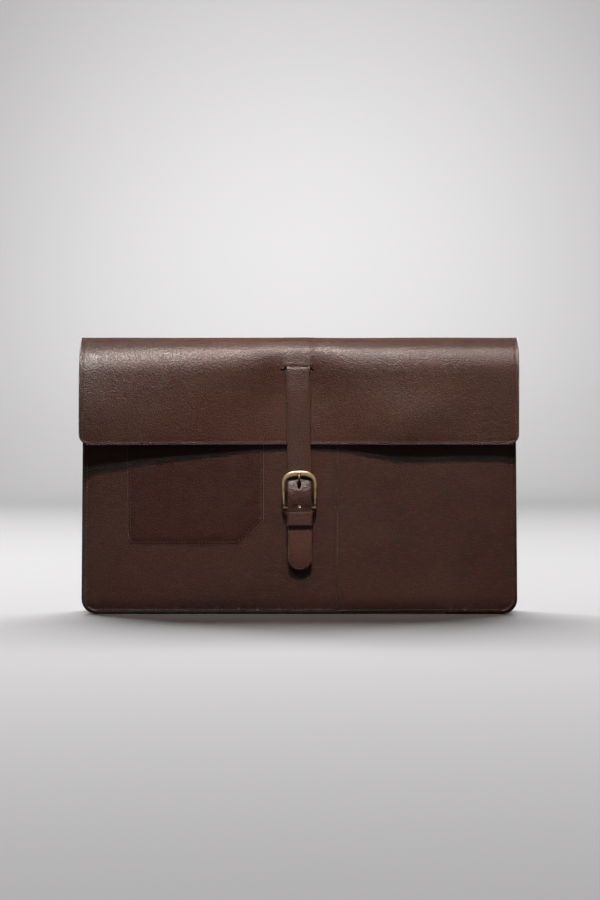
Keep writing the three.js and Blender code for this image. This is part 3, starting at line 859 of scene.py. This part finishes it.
def make_card_pocket():
    (left, right), (bottom, top) = span("card_pocket", 0), span("card_pocket", 2)
    cut, inset = 22, 2.4
    corner = arc((left + 2, bottom + 2), 2, 2, 180, 270, 4)
    outline = joined([(left, top)], corner, [(right - cut, bottom), (right, bottom + cut), (right, top)])
    sheet = pocket_sheet(outline)
    bands = (0.8, 1.5, 2, 2.4, 2.8, 3.5)
    # the pocket's rounded edge takes the pale edge paint, partly a painted highlight
    thing = sheet.build("card_pocket_leather", [POCKET, LINING, POCKET_EDGE_SHEEN], bands=bands, border=0.5)
    dressed(thing, "bag", "pocket_leather", "card_pocket")
    turn = (right - cut - 1, bottom + inset)
    main = [(left + inset, top), (left + inset, bottom + inset), turn]
    side = [turn, (right - inset, bottom + cut + 1), (right - inset, top)]
    sew(
        sheet, "card_pocket", "pocket_leather",
        ("seam", main, THREAD, 3.0, 0.22),
        ("side_seam", side, THREAD_PALE, 3.0, 0.22),
        # a pale mark low on the pocket's left edge: partly a stitch, partly a painted highlight
        ("tack", [(left + 1, bottom + 2), (left + 1, bottom + 12)], FLAP_EDGE_SHEEN, 7.5, 0.45),
    )


def make_document_pocket():
    left, top = span("document_pocket", 0)[0], span("document_pocket", 2)[1]
    corner = arc((HALF_WIDTH - BASE_RADIUS, BASE_RADIUS), BASE_RADIUS, BASE_RADIUS, 270, 360)
    outline = joined([(left, top), (left, 0)], corner, [(half_width_at(top), top)])
    sheet = pocket_sheet(outline)
    plain = sheet.outer
    # Only the left edge thins out: the others are the sleeve's own.
    sheet.outer = lambda u, v, d: plain(u, v, np.where(u > left + 8, d + BEYOND_EDGE, d))
    bands = (0.7, 1.3, 2, 2.4, 2.9, 3.5, 4.5, 6)
    thing = sheet.build("document_pocket_leather", SHELL_ROWS, bands=bands, border=0.4)
    dressed(thing, "bag", "shell_leather", "document_pocket")
    zigzag = [(left + 3 + 0.7 * (-1) ** k, z) for k, z in enumerate(np.arange(top, 4, -1.7))]
    tack_height = 93.5
    rim = pouch_outline(SEAM_LINE, top)
    rim = joined([(left + 6, SEAM_INSET)], rim[rim[:, 0] > left + 4])
    sew(
        sheet, "document_pocket", "shell_leather",
        ("seam", zigzag, THREAD, 1.7, 0.26),
        ("tack", [(left - 0.5, tack_height), (left + 8, tack_height)], THREAD_PALE, 1.9, 0.3),
        ("rim_seam", rim, THREAD, 3.4, 0.3),
    )


def declare_cloth(sheet):
    """Works out the area that a lining was cut to; nothing uses the area."""
    area = abs(signed_area(sheet.outline)) - sum(abs(signed_area(hole)) for hole in sheet.holes)


def make_foam(name, side):
    """A flat pad against a panel, with softened edges."""
    half, high = span(name, 0)[1], span(name, 2)[1]
    near = span(name, 1)[0 if side < 0 else 1]

    def outer(u, v, d):
        return -0.35 * np.exp(-d / 4)

    def inner(u, v, d):
        return -2.4 + 0.3 * np.exp(-d / 4)

    pad = Sheet(pouch_outline(HALF_WIDTH - half, high), upright(near, side), outer, inner)
    thing = pad.build(name + "_pad", [FOAM] * 3, spacing=7, bands=(1.5, 4), border=0.9)
    dressed(thing, "bag", "foam", name)


def make_wall_lining(name, side, panel_inside):
    """A lining glued to its foam, whose top turns out to meet the panel."""
    top = span(name, 2)[1]
    face = span(name, 1)[0 if side < 0 else 1]
    reach = abs(panel_inside - face) - 0.15
    turned = 5

    def place(u, v, lift):
        turn = reach * np.clip((v - top + turned) / turned, 0, 1) ** 2
        return np.stack([u, face + side * (lift + turn), v], 1)

    def outer(u, v, d):
        return 0.1 * wobble(u, v, 30, 5.5) - 0.1

    cloth = Sheet(pouch_outline(2.2, top), place, outer, under(outer, 0.7))
    thing = cloth.build(name + "_cloth", [LINING] * 3, spacing=6, bands=(1, 3, 5, 7), border=0.3)
    dressed(thing, "bag", "lining", name)
    declare_cloth(cloth)


def make_board():
    """The stiffener that the laptop stands on."""
    low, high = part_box("bottom_board")
    (x0, y0, z0), (x1, y1, z1) = low / MM, high / MM

    def place(u, v, lift):
        return np.stack([u, v, z1 + lift], 1)

    board = Sheet(rectangle(x0, y0, x1, y1), place, level(0), level(z0 - z1))
    thing = board.build("bottom_board_sheet", [BOARD] * 3, spacing=6, bands=(1, 2), border=0.5)
    dressed(thing, "bag", "board", "bottom_board")


def make_inside():
    for wall, side, panel_inside in (("front", -1, FRONT_INSIDE), ("back", 1, BACK_INSIDE)):
        make_foam(wall + "_foam", side)
        make_wall_lining(wall + "_lining", side, panel_inside)
    make_board()


# ---- Flap ----


def cover_track():
    """The flap's outside, from the lower edge behind, over the mouth, to the lower edge in front."""
    rear = arc((COVER_REAR - REAR_FOLD[0], HEIGHT - REAR_FOLD[1]), *REAR_FOLD, 0, 90, 40)
    front = arc((COVER_FRONT + FRONT_FOLD[0], HEIGHT - FRONT_FOLD[1]), *FRONT_FOLD, 90, 180, 60)
    line = joined([(COVER_REAR, BAND_BOTTOM)], rear, front, [(COVER_FRONT, FLAP_BOTTOM)])
    return Track(resample(line, 1, closed=False))


COVER = cover_track()
COVER_TOP = COVER.where(0, COVER.length, 0, COVER_REAR - REAR_FOLD[0] - 4)  # where the two pieces lap


def front_at(height):
    """The distance along the flap, in front, at which it has a height."""
    return COVER.where(COVER_TOP, COVER.length, 1, height)


SLOT_AT = front_at(SLOT_Z)
CREASE_AT = front_at(235.5)  # where the fold begins


def bow(x, z):
    """How much further than at the strap the flap stands off the front."""
    left = np.clip((-x - HELD_FLAT) / (FLAP_HALF - HELD_FLAT), 0, 1)
    right = np.clip((x - HELD_FLAT) / 70, 0, 1)
    share = np.clip((BOW_TOP - z) / (BOW_TOP - FLAP_BOTTOM), 0, 1)
    full = 1 - (1 - share) ** BOW_FULLNESS
    return BOW_LEFT * left**1.12 * full + BOW_RIGHT * right**2 * (3 - 2 * right) * share


def cover_place(u, v, lift):
    y, z = COVER.at(v, lift)
    in_front = v > COVER_TOP
    return np.stack([u, y - bow(u, z) * in_front, z], 1)


def flap_relief(u, v, d):
    """The flap's own shape: creased along the fold, drawn in round the slot, raised over the strap's
    end, loose and swelling to the right of it, with a pressed seam and a burnished lip."""
    off = u - SLOT_X
    above = SLOT_AT - v
    crease_line = -0.8 * bump(v, CREASE_AT, 4.6)
    reach = np.where(above > 0, 18, 60)
    drawn = -2.8 * bump(off, 0, 36) * bump(above / reach, 0, 1)
    lip = -0.3 * bump(off, 0, 15) * bump(above, -2, 2.5)
    over_strap = np.clip(1.5 - np.abs(off) / 10.5, 0, 0.5) * 2
    overhang = 1.8 * np.exp(-np.clip(above, 0, None) / 16) + 0.9 * np.exp(-np.clip(above, 0, None) / 2.5)
    ridge = over_strap * overhang * (above > 0)
    pressed = -0.9 * (bump(off, 24, 16) + bump(off, -22, 14)) * bump(above, -22, 26)
    swell = 2.0 * bump(u, 98, 36) * bump(above, -44, 24)
    seam = -0.15 * bump(d, 3.1, 0.5)
    rim = 0.2 * bump(d, 1.0, 0.45) - 0.3 * np.exp(-d / 0.35)
    loose = 0.35 * wobble(u, v, 55, 2.3) * np.clip(d / 60, 0, 1)
    return crease_line + drawn + lip + ridge + pressed + swell + seam + rim + loose


def cover_outline(start, end, inset=0.0, rounded=True):
    """The flap's outline between two distances along it, narrowest over the top."""
    v = np.linspace(start, end, 60)
    half = FLAP_HALF - inset - TOP_NARROWING * bump(v, COVER_TOP, 16)
    radius = FLAP_RADIUS - inset if rounded else 0.5
    stop = end - radius
    keep = v < stop
    left = np.stack([-half[keep], v[keep]], 1)
    right = np.stack([half[keep], v[keep]], 1)[::-1]
    last = FLAP_HALF - inset
    turn_left = arc((radius - last, stop), radius, radius, 180, 90)
    turn_right = arc((last - radius, stop), radius, radius, 90, 0)
    return joined(left, turn_left, turn_right, right)[::-1]


FLAP_RIM = cover_outline(0, COVER.length)


def flap_outer(u, v, d):
    return flap_relief(u, v, edge_distance(np.stack([u, v], 1), FLAP_RIM))


UNDER_FLAP = under(flap_outer, FLAP_LEATHER + 0.2)
ROOT_TOP = 229.5  # how high the strap's end reaches


def slot_hole():
    """The outline of the strap's slot, run clockwise."""
    half, end = SLOT_SIZE[0] / 2, SLOT_SIZE[1] / 2
    right = arc((SLOT_X + half - end, SLOT_AT), end, end, 90, -90, 10)
    left = arc((SLOT_X - half + end, SLOT_AT), end, end, 270, 90, 10)
    return joined(right, left)


# Each bend: the two bodies that it joins, and in metres the places where it starts and ends.
REAR_BEND = ("bag", "spine", (0, 0.0161, 0.2245), (0, 0.004, 0.24))
FRONT_BEND = ("spine", "flap", (0, 0.0005, 0.24), (0, -0.0187, 0.2175))
STRAP_BEND = ("flap", "strap", (0, PIVOT[0] * MM, 0.2150), (0, PIVOT[0] * MM, 0.2040))
LAP = 2.5  # how far the rear piece runs on under the front one


def bend(thing, slot, between, *nodes):
    """Bakes a finished piece's place into its mesh, in place of CAD nodes."""
    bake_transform(thing)
    if nodes:
        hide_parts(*nodes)
    return thing


def make_flap_leather():
    """The rear and front pieces. The rear one lies just under the front one where they lap."""
    bands = (0.8, 1.1, 1.5, 2.2, 2.7, 3.1, 3.5, 4, 5.5)
    # the second material, near-black edge paint, is the slot's cut edge: partly painted shade in the slot's
    # ends
    rows = [FLAP, EDGE, LINING, FLAP_EDGE_SHEEN]

    def rear_outer(u, v, d):
        return flap_outer(u, v, d) - 0.06 * (v > COVER_TOP)

    outline = cover_outline(0, COVER_TOP + LAP, rounded=False)
    rear = Sheet(outline, cover_place, rear_outer, under(rear_outer, FLAP_LEATHER - 0.1))
    thing = rear.build("flap_rear_leather", rows, spacing=3.4, bands=bands, border=0.7)
    bend(thing, "flap_leather", REAR_BEND, "flap_back_band", "flap_spine")

    outline = cover_outline(COVER_TOP, COVER.length)
    front = Sheet(outline, cover_place, flap_outer, under(flap_outer, FLAP_LEATHER), holes=[slot_hole()])
    # the face within 0.9 mm of the rim takes the pale edge paint: burnished, and partly a painted highlight
    thing = front.build(
        "flap_front_leather", rows, spacing=3.0, bands=bands, border=0.7, painted=0.9, cut=[1],
    )
    bend(thing, "flap_leather", FRONT_BEND, "flap_front")

    inset, pitch, radius = 3.1, 3.2, 0.28
    half = FLAP_HALF - inset
    edge = cover_outline(0, COVER.length, inset)
    below = edge[edge[:, 1] > COVER_TOP + 1]
    thing = front.stitches("flap_front_seam", [below], THREAD, pitch, radius)
    bend(thing, "flap_leather", FRONT_BEND)
    along = np.arange(5, COVER_TOP, 2)
    widths = half - TOP_NARROWING * bump(along, COVER_TOP, 16)
    sides = [np.stack([side * widths, along], 1) for side in (-1, 1)]
    band_rows = [[(-half + 1, v), (half - 1, v)] for v in (2.6, 9.0)]
    thing = rear.stitches("flap_rear_seam", [*sides, *band_rows], THREAD, pitch, radius)
    bend(thing, "flap_leather", REAR_BEND)


def make_flap_lining():
    """The lining under the flap, cut away round the strap's end."""
    outer = UNDER_FLAP
    spine_start = COVER.where(0, COVER_TOP, 1, HEIGHT - 8)  # how far down behind it reaches
    rear = Sheet(
        cover_outline(spine_start, COVER_TOP + LAP, 3, rounded=False), cover_place,
        lambda u, v, d: outer(u, v, d) - 0.1 * (v > COVER_TOP), under(outer, 0.85),
    )
    half, low = STRAP_WIDTH / 2 + 0.6, SLOT_AT + 2.6
    high = front_at(ROOT_TOP + 1)
    window = clockwise(rectangle(SLOT_X - half, high, SLOT_X + half, low))
    outline = cover_outline(COVER_TOP, COVER.length, 3)
    front = Sheet(outline, cover_place, outer, under(outer, 0.75), holes=[window])
    for sheet, node, between in (
        (rear, "spine_lining", REAR_BEND),
        (front, "flap_lining", FRONT_BEND),
    ):
        thing = sheet.build(node + "_cloth", [LINING] * 3, spacing=5, bands=(1, 2.5), border=0.3)
        bend(thing, "lining", between, node)
        declare_cloth(sheet)


def make_strap_root():
    """The strap's end, sewn up inside the flap above the slot."""
    half = STRAP_WIDTH / 2
    outline = rectangle(SLOT_X - half, front_at(ROOT_TOP), SLOT_X + half, SLOT_AT - 1.5)
    sheet = Sheet(outline, cover_place, UNDER_FLAP, under(UNDER_FLAP, 1.6))
    thing = sheet.build("strap_root_leather", STRAP_ROWS, spacing=2, bands=(0.8,), border=0.6)
    bend(thing, "strap_leather", FRONT_BEND, "strap_root")


# ---- Closure: strap, chape, keeper, snap ----


def closure_matrix():
    """From the strap's own upright frame to the sleeve's, in millimetres: leant to the right."""
    there = Matrix.Translation((SLOT_X, *PIVOT))
    return there @ Matrix.Rotation(-LEAN, 4, "Y") @ Matrix.Translation((0, -PIVOT[0], -PIVOT[1]))


CLOSURE = closure_matrix()
STRAP_TRACK = Track(catmull_rom(STRAP_LINE, 10))


def strap_at(height):
    """The distance along the strap at which it has a height."""
    return STRAP_TRACK.where(0, STRAP_TRACK.length, 1, height)


def hung_on(track):
    """Places on a strip that follows a track and is level from side to side."""
    return lambda u, v, lift: np.stack([u, *track.at(v, lift)], 1)


def strap_lift(u, v, d):
    """Slightly domed, with soft edges, creased where it climbs over the prong and raised round it."""
    face = STRAP_THICKNESS / 2 - 0.2
    dome = 0.2 * (1 - (u / (STRAP_WIDTH / 2)) ** 2)
    edge = -0.3 * np.exp(-d / 0.6)
    crease_line = -0.12 * bump(d, 1.9, 0.35)
    climb = bump(v, strap_at(111.5), 8)
    ribs = 0.3 * climb * bump(np.abs(u), 8.2, 1.0) * (1 + wobble(u, v, 2.5, 2.2))
    rumple = climb * (0.4 * wobble(u * 2.2, v, 4.5, 4.4) + 0.36 * wobble(u * 1.6, v, 1.9, 6.1))
    collar = 0.3 * bump(np.hypot(u / 2.7, (v - strap_at(112)) / 4.8), 1, 0.28)
    pinch = 0.55 * bump(u, 0, 1.3) * bump(v, strap_at(108.4), 0.8)
    sway = 0.14 * wobble(u, v, 18, 7.7) + 0.06 * wobble(u, v, 5, 1.2)
    return dome + edge + crease_line + ribs + rumple + collar + pinch + sway + face


def make_strap():
    half = STRAP_WIDTH / 2
    tip = arc((0, strap_at(STRAP_TIP) - half), half, half, 180, 0, 28)
    outline = joined([(-half, 0)], tip, [(half, 0)])[::-1]
    low, high = strap_at(PRONG_HOLE[0]), strap_at(PRONG_HOLE[1])
    radius = PRONG_HOLE[2] / 2
    upper_end = arc((0, high + radius), radius, radius, 360, 180, 10)
    lower_end = arc((0, low - 1.1), 0.7, 1.1, 180, 0, 8)
    spare = arc((0, strap_at(SPARE_HOLE[0])), SPARE_HOLE[1], SPARE_HOLE[1], 360, 0, 16)[:-1]
    holes = [clockwise(joined(upper_end, lower_end)), spare]
    inner = level(-STRAP_THICKNESS / 2)
    sheet = Sheet(outline, hung_on(STRAP_TRACK), strap_lift, inner, holes=holes)
    # the spare hole's wall takes the pale core colour: partly the leather's own, partly a painted highlight
    thing = sheet.build(
        "strap_leather_band", [STRAP, RAW_CORE_GLINT, STRAP, STRAP_EDGE], spacing=1.0,
        bands=(0.5, 1, 1.5, 1.9, 2.3, 3), border=0.65, step=1.2, painted=0.6, cut=[3, 1],
    )
    bend(moved(thing, CLOSURE), "strap_leather", STRAP_BEND, "strap")


def make_chape():
    """The short strip folded round the heel bar, slotted for the prong."""
    y, z = HEEL
    radius = HEEL_RADIUS + 1.7
    fold = arc(HEEL, radius, radius, 0, 180, 16)
    line = joined([(y + 2.3, 54.2), (y + 2.35, 84.9)], fold, [(y - 1.7, 84.9), (y - 1.65, 60.2)])
    track = Track(resample(catmull_rom(line, 6), 0.5, closed=False))
    half = 9.9

    def outer(u, v, d):
        return -0.2 * np.exp(-d / 0.6)

    top = track.where(0, track.length, 1, z + radius)
    prong_slot = joined(arc((0, top + 8), 2.1, 2, 180, 0, 8), arc((0, top - 8), 2.1, 2, 0, -180, 8))
    outline = rectangle(-half, 0, half, track.length)
    sheet = Sheet(outline, hung_on(track), outer, level(-1.3), holes=[clockwise(prong_slot)])
    thing = sheet.build("chape_leather", STRAP_ROWS, spacing=1.8, bands=(0.6, 1.2), border=0.5, step=1.5)
    dressed(moved(thing, CLOSURE), "strap", "strap_leather", "chape")


def make_keeper():
    """A closed loop of leather round the strap's tail and the chape, its two rims in near-black edge paint
    that is also painted shade over the top rim.
    """
    (near, far), (low, high) = span("keeper", 1), span("keeper", 2)
    half_x, half_y, half_z = 10.75, (far - near) / 2 - 0.85, (high - low) / 2
    middle = np.array([0, (near + far) / 2, (low + high) / 2])
    corner, painted = 2.2, 0.8
    loop = resample(joined(*[
        arc((x * (half_x - corner), y * (half_y - corner)), corner, corner, start, start + 90, 6)
        for x, y, start in ((1, 1, 0), (-1, 1, 90), (-1, -1, 180), (1, -1, 270))
    ]), 1.2)
    away = outward(loop)
    bulge = 0.35 * np.clip(-away[:, 1], 0, 1) * np.clip(1 - (loop[:, 0] / half_x) ** 2, 0, 1)
    count = len(loop)
    centres = np.column_stack([loop + away * bulge[:, None], np.zeros(count)]) + middle
    out = np.column_stack([away, np.zeros(count)])
    up = np.tile([0.0, 0.0, 1.0], (count, 1))
    sections = np.tile(superellipse(0.45, half_z - 0.1, 4, 32), (count, 1, 1))
    thing = sweep("keeper_leather", centres, np.stack([out, up], 1), sections, STRAP, closed=True)
    # near-black rims: edge paint, and painted shade that holds down the top rim's light
    recoloured(thing, EDGE, lambda place: abs(place.z - middle[2]) > half_z - painted)
    dressed(moved(thing, CLOSURE), "strap", "strap_leather", "keeper")


def make_snap():
    """The two halves of the concealed snap, with the washers that hold them."""
    x, z = (sum(span("snap_socket", axis)) / 2 for axis in (0, 2))
    cup = [
        (3, 0.25), (3.3, 0), (6.3, 0), (6.9, 0.5), (7, 1.2), (6.8, 1.95), (0.01, 1.95), (0.01, 1.6), (3, 1.6),
    ]
    stud = [
        (0.01, 2.1), (1.9, 2.1), (2.4, 1.8), (2.5, 1), (6.6, 1), (7, 0.75), (6.9, 0.2), (6.5, 0), (0.01, 0),
    ]
    ring = [(2, 0.05), (6.9, 0.05), (7, 0.3), (6.9, 0.55), (2, 0.55)]
    for name, node, profile, body in (
        ("snap_socket_cup", "snap_socket", cup, "bag"),
        ("snap_socket_plate", "snap_socket_washer", ring, "bag"),
        ("snap_stud_cap", "snap_stud", stud, "strap"),
        ("snap_stud_plate", "snap_stud_washer", ring, "strap"),
    ):
        face = span(node, 1)[0]
        thing = moved(lathe(name, profile, STEEL), Matrix.Translation((x, face, z)))
        dressed(thing, body, "steel", node)


# ---- Buckle ----

BUCKLE = CLOSURE @ Matrix.Translation((0, *HEEL)) @ Matrix.Rotation(BUCKLE_TILT, 4, "X")
ALONG_BAR = Matrix.Rotation(math.pi / 2, 4, "Z")  # lays a turned piece's axis along the heel bar


def arch_points(across, up, foot, steps=40):
    """A side of the frame's outline, from its left foot, over the arch, to its right foot."""
    x, z = squared(np.radians(np.linspace(180, 0, steps + 1)), ARCH_SQUARENESS)
    arch = np.stack([across * x, ARCH_SPRING + up * np.clip(z, 0, None)], 1)
    legs = np.linspace(FRAME_FOOT, ARCH_SPRING, 14, endpoint=False)
    out = across + (foot - across) * (ARCH_SPRING - legs) / (ARCH_SPRING - FRAME_FOOT)
    left = np.stack([-out, legs], 1)
    return joined(left, arch, left[::-1] * (-1, 1))


def make_buckle():
    """The frame, an arch that narrows into two lugs, and the bar through them."""
    outer = arch_points(BUCKLE_HALF, BUCKLE_TOP - ARCH_SPRING, BUCKLE_HALF - 1.1)
    inner = arch_points(*ARCH_INNER, BUCKLE_HALF - 2.6)
    middle, across = (outer + inner) / 2, (outer - inner) / 2
    half_face = np.linalg.norm(across, axis=1)
    crown = np.clip((half_face - 1) / 1.5, 0, 1)
    sections = np.stack([superellipse(a, 1.2 + 0.2 * c, 2.7, 24) for a, c in zip(half_face, crown)])
    tuck = 1.6 * np.clip(1 - (middle[:, 1] - FRAME_FOOT) / 5, 0, 1) ** 2
    centres = np.stack([middle[:, 0], tuck, middle[:, 1]], 1)
    side = unit(np.stack([across[:, 0], 0 * tuck, across[:, 1]], 1))
    out = np.tile([0.0, 1.0, 0.0], (len(middle), 1))
    parts = [sweep("buckle_arch", centres, np.stack([side, out], 1), sections, BRASS)]
    lug = [(1.6, -1), (1.9, -1.05), (2.2, -0.75), (2.2, 0.75), (1.9, 1.05), (1.6, 1)]
    for end in (-1, 1):
        there = Matrix.Translation((end * (BUCKLE_HALF - 1.85), 0, 0)) @ ALONG_BAR
        parts.append(moved(lathe("lug", lug, BRASS), there))
    whole = fuse("buckle_frame_casting", parts, 0.2, BRASS)
    notch_prong(whole)
    # painted shade: the lugs take the near-black brass
    recoloured(whole, SHADED_BRASS, lambda place: place.z < LUG_TOP)
    dressed(moved(whole, BUCKLE), "buckle", "brass", "buckle_frame")

    half_bar = [(0.01, 14.1), (0.9, 14.1), (1.35, 13.8), (HEEL_RADIUS, 13.3)]
    bar = [(radius, -place) for radius, place in half_bar] + half_bar[::-1]
    # the heel bar is near black: painted shade behind the leather
    thing = moved(lathe("heel_bar_pin", bar, SHADED_BRASS), BUCKLE @ ALONG_BAR)
    dressed(thing, "buckle", "brass", "heel_bar")


def notch_prong(thing):
    """Presses the prong's seat into the front of the frame's top bar."""
    depth, half_width = 0.8, 1.15
    for vertex in thing.data.vertices:
        x, y, z = vertex.co / MM
        if ARCH_SPRING < z < BUCKLE_TOP - 1.6 and y < 0:
            vertex.co.y += depth * MM * math.exp(-((x / half_width) ** 4)) * min(1, -y)
    thing.data.update()


def make_prong():
    """A ring round the heel bar and a shank that bends through the strap onto the frame."""
    line = [
        (1.6, 1.2), (1.8, 8), (1.7, 14), (1.0, 18.5), (0.1, 21.5), (-1.0, 25), (-1.7, 28), (-1.6, PRONG_TIP),
    ]
    places = catmull_rom(line, 8)
    along = unit(np.gradient(places, axis=0))
    count = len(places)
    none = np.zeros(count)
    centres = np.column_stack([none, places])
    side = np.tile([1.0, 0, 0], (count, 1))
    out = np.column_stack([none, along[:, 1], -along[:, 0]])
    taper = 1 - 0.3 * np.linspace(0, 1, count)
    taper[-4:] *= [0.97, 0.9, 0.74, 0.4]
    sections = np.stack([superellipse(1.1 * t, 0.72 * t, 2.5, 20) for t in taper])
    shank = sweep("prong_shank", centres, np.stack([side, out], 1), sections, PRONG_BRASS)
    profile = [(1.7, -1.25), (3.2, -1.3), (3.6, -0.9), (3.6, 0.9), (3.2, 1.3), (1.7, 1.25)]
    ring = moved(lathe("prong_ring", profile, PRONG_BRASS), ALONG_BAR)
    ring_top = 5
    whole = fuse("prong_casting", [shank, ring], 0.16, PRONG_BRASS)
    # painted highlight: the ring takes the paler brass, to glint through the spare hole
    recoloured(whole, GLINT_BRASS, lambda place: place.z < ring_top)
    dressed(moved(whole, BUCKLE), "prong", "brass", "prong")


# ---- Studio ----


def make_camera():
    """The camera, a little above the sleeve's middle. Sizes in this section are in metres."""
    target = Vector((0.0006, -0.004, 0.1424))
    elevation = math.radians(3.0)
    distance = 1.85
    place = target + distance * Vector((0, -math.cos(elevation), math.sin(elevation)))
    data = bpy.data.cameras.new("camera")
    data.lens = 85
    camera = bpy.data.objects.new("camera", data)
    camera.location = place
    camera.rotation_euler = (target - place).to_track_quat("-Z", "Y").to_euler()
    bpy.context.collection.objects.link(camera)
    bpy.context.scene.camera = camera


def make_backdrop():
    """A pale sweep: a floor that curves up into a wall."""
    n = Nodes("backdrop")
    n.finish(colour=(0.79, 0.78, 0.79), roughness=0.9, specular=0.0)
    radius, back, half_width, front, height = 1.2, 2.6, 5.2, -3.2, 3.6
    bend_line = arc((back - radius, radius), radius, radius, 270, 360, 24)
    line = joined([(front, 0)], bend_line, [(back, height)])
    vertices = [(x, y, z) for x in (-half_width, half_width) for y, z in line]
    count = len(line)
    faces = [(k, k + 1, count + k + 1, count + k) for k in range(count - 1)]
    mesh = bpy.data.meshes.new("backdrop")
    mesh.from_pydata(vertices, [], faces)
    mesh.materials.append(n.material)
    mesh.polygons.foreach_set("use_smooth", [True] * len(faces))
    backdrop = bpy.data.objects.new("backdrop", mesh)
    backdrop.visible_diffuse = False
    backdrop.visible_glossy = False
    bpy.context.collection.objects.link(backdrop)


def add_light(name, place, target, power, size, only=(), spare=(), spread=180, colour=(1, 1, 1)):
    """A rectangular softbox that lights only some objects, or spares some."""
    data = bpy.data.lights.new(name, "AREA")
    data.energy = power
    data.color = colour
    data.shape = "RECTANGLE"
    data.size, data.size_y = size
    data.spread = math.radians(spread)
    light = bpy.data.objects.new(name, data)
    light.location = place
    light.rotation_euler = (Vector(target) - Vector(place)).to_track_quat("-Z", "Y").to_euler()
    bpy.context.collection.objects.link(light)
    group = bpy.data.collections.new(name + "_receivers")
    for state, names in (("INCLUDE", only), ("EXCLUDE", spare)):
        for each in names:
            group.objects.link(bpy.data.objects[each])
            group.collection_objects[-1].light_linking.link_state = state
    light.light_linking.receiver_collection = group
    return light


def make_lights():
    """Soft light on the sleeve from all round, and a floor that is lit by itself."""
    world = bpy.data.worlds.new("studio")
    world.use_nodes = True
    background = world.node_tree.nodes["Background"].inputs
    background["Color"].default_value = (1, 0.93, 0.88, 1)
    background["Strength"].default_value = 0.05
    bpy.context.scene.world = world
    bpy.context.scene.view_settings.view_transform = "Standard"
    floor = ["backdrop"]
    metal = ["buckle_frame_casting", "heel_bar_pin", "prong_casting"]
    warm = (1, 0.9, 0.84)
    middle, crown, base = (0, 0, 0.15), (0, 0, 0.24), (0, 0, 0.12)
    buckle = (0, 0, 0.11)

    # On the sleeve: one small light for the shadows, one that only gleams along the fold, and soft fills.
    key = add_light("key", (0.04, -1.03, 2.1), (0.02, 0, 0.15), 2.85, (0.17, 0.17), spare=floor, spread=31)
    key.visible_glossy = False
    glow = add_light("glow", (-0.23, -1.22, 1.72), (0, 0, 0.22), 104, (0.54, 0.13), spare=floor, colour=warm)
    glow.visible_diffuse = False
    for side in (-1, 1):
        add_light("rear", (side * 1.55, 1.3, 1.4), middle, 45, (0.8, 0.8), spare=floor)
    add_light("crown", (0, 1.1, 1.9), crown, 6, (1.6, 0.5), spare=floor, colour=warm)
    fill = add_light("fill", (0.2, -2.6, 0.7), base, 6, (3.2, 2.2), spare=floor)
    fill.visible_glossy = False

    # On the brass, from above and below.
    add_light("gleam", (0, -1.0, 1.9), buckle, 21, (0.5, 0.3), only=metal, colour=warm)
    add_light("bounce", (0, -0.9, -0.15), buckle, 1.8, (1.6, 0.7), only=metal, colour=warm)

    # On the floor, and on the wall that it curves up into.
    add_light("overhead", (-0.1, 0.82, 1.85), (-0.05, -0.6, 0), 23, (2.0, 1.1), only=floor, spread=130)
    for side, power in ((-1, 8), (1, 5)):
        add_light("side", (side * 1.3, 0.85, 1.1), (0, -0.3, 0), power, (0.4, 0.4), only=floor)
    add_light("wall", (0, 1.2, 1.1), (0, 2.5, 0.5), 10.5, (1.3, 0.4), only=floor, spread=130)


make_camera()
make_backdrop()
make_panels()
make_gusset()
make_card_pocket()
make_document_pocket()
make_inside()
make_flap_leather()
make_flap_lining()
make_strap_root()
make_strap()
make_chape()
make_keeper()
make_snap()
make_buckle()
make_prong()
make_lights()
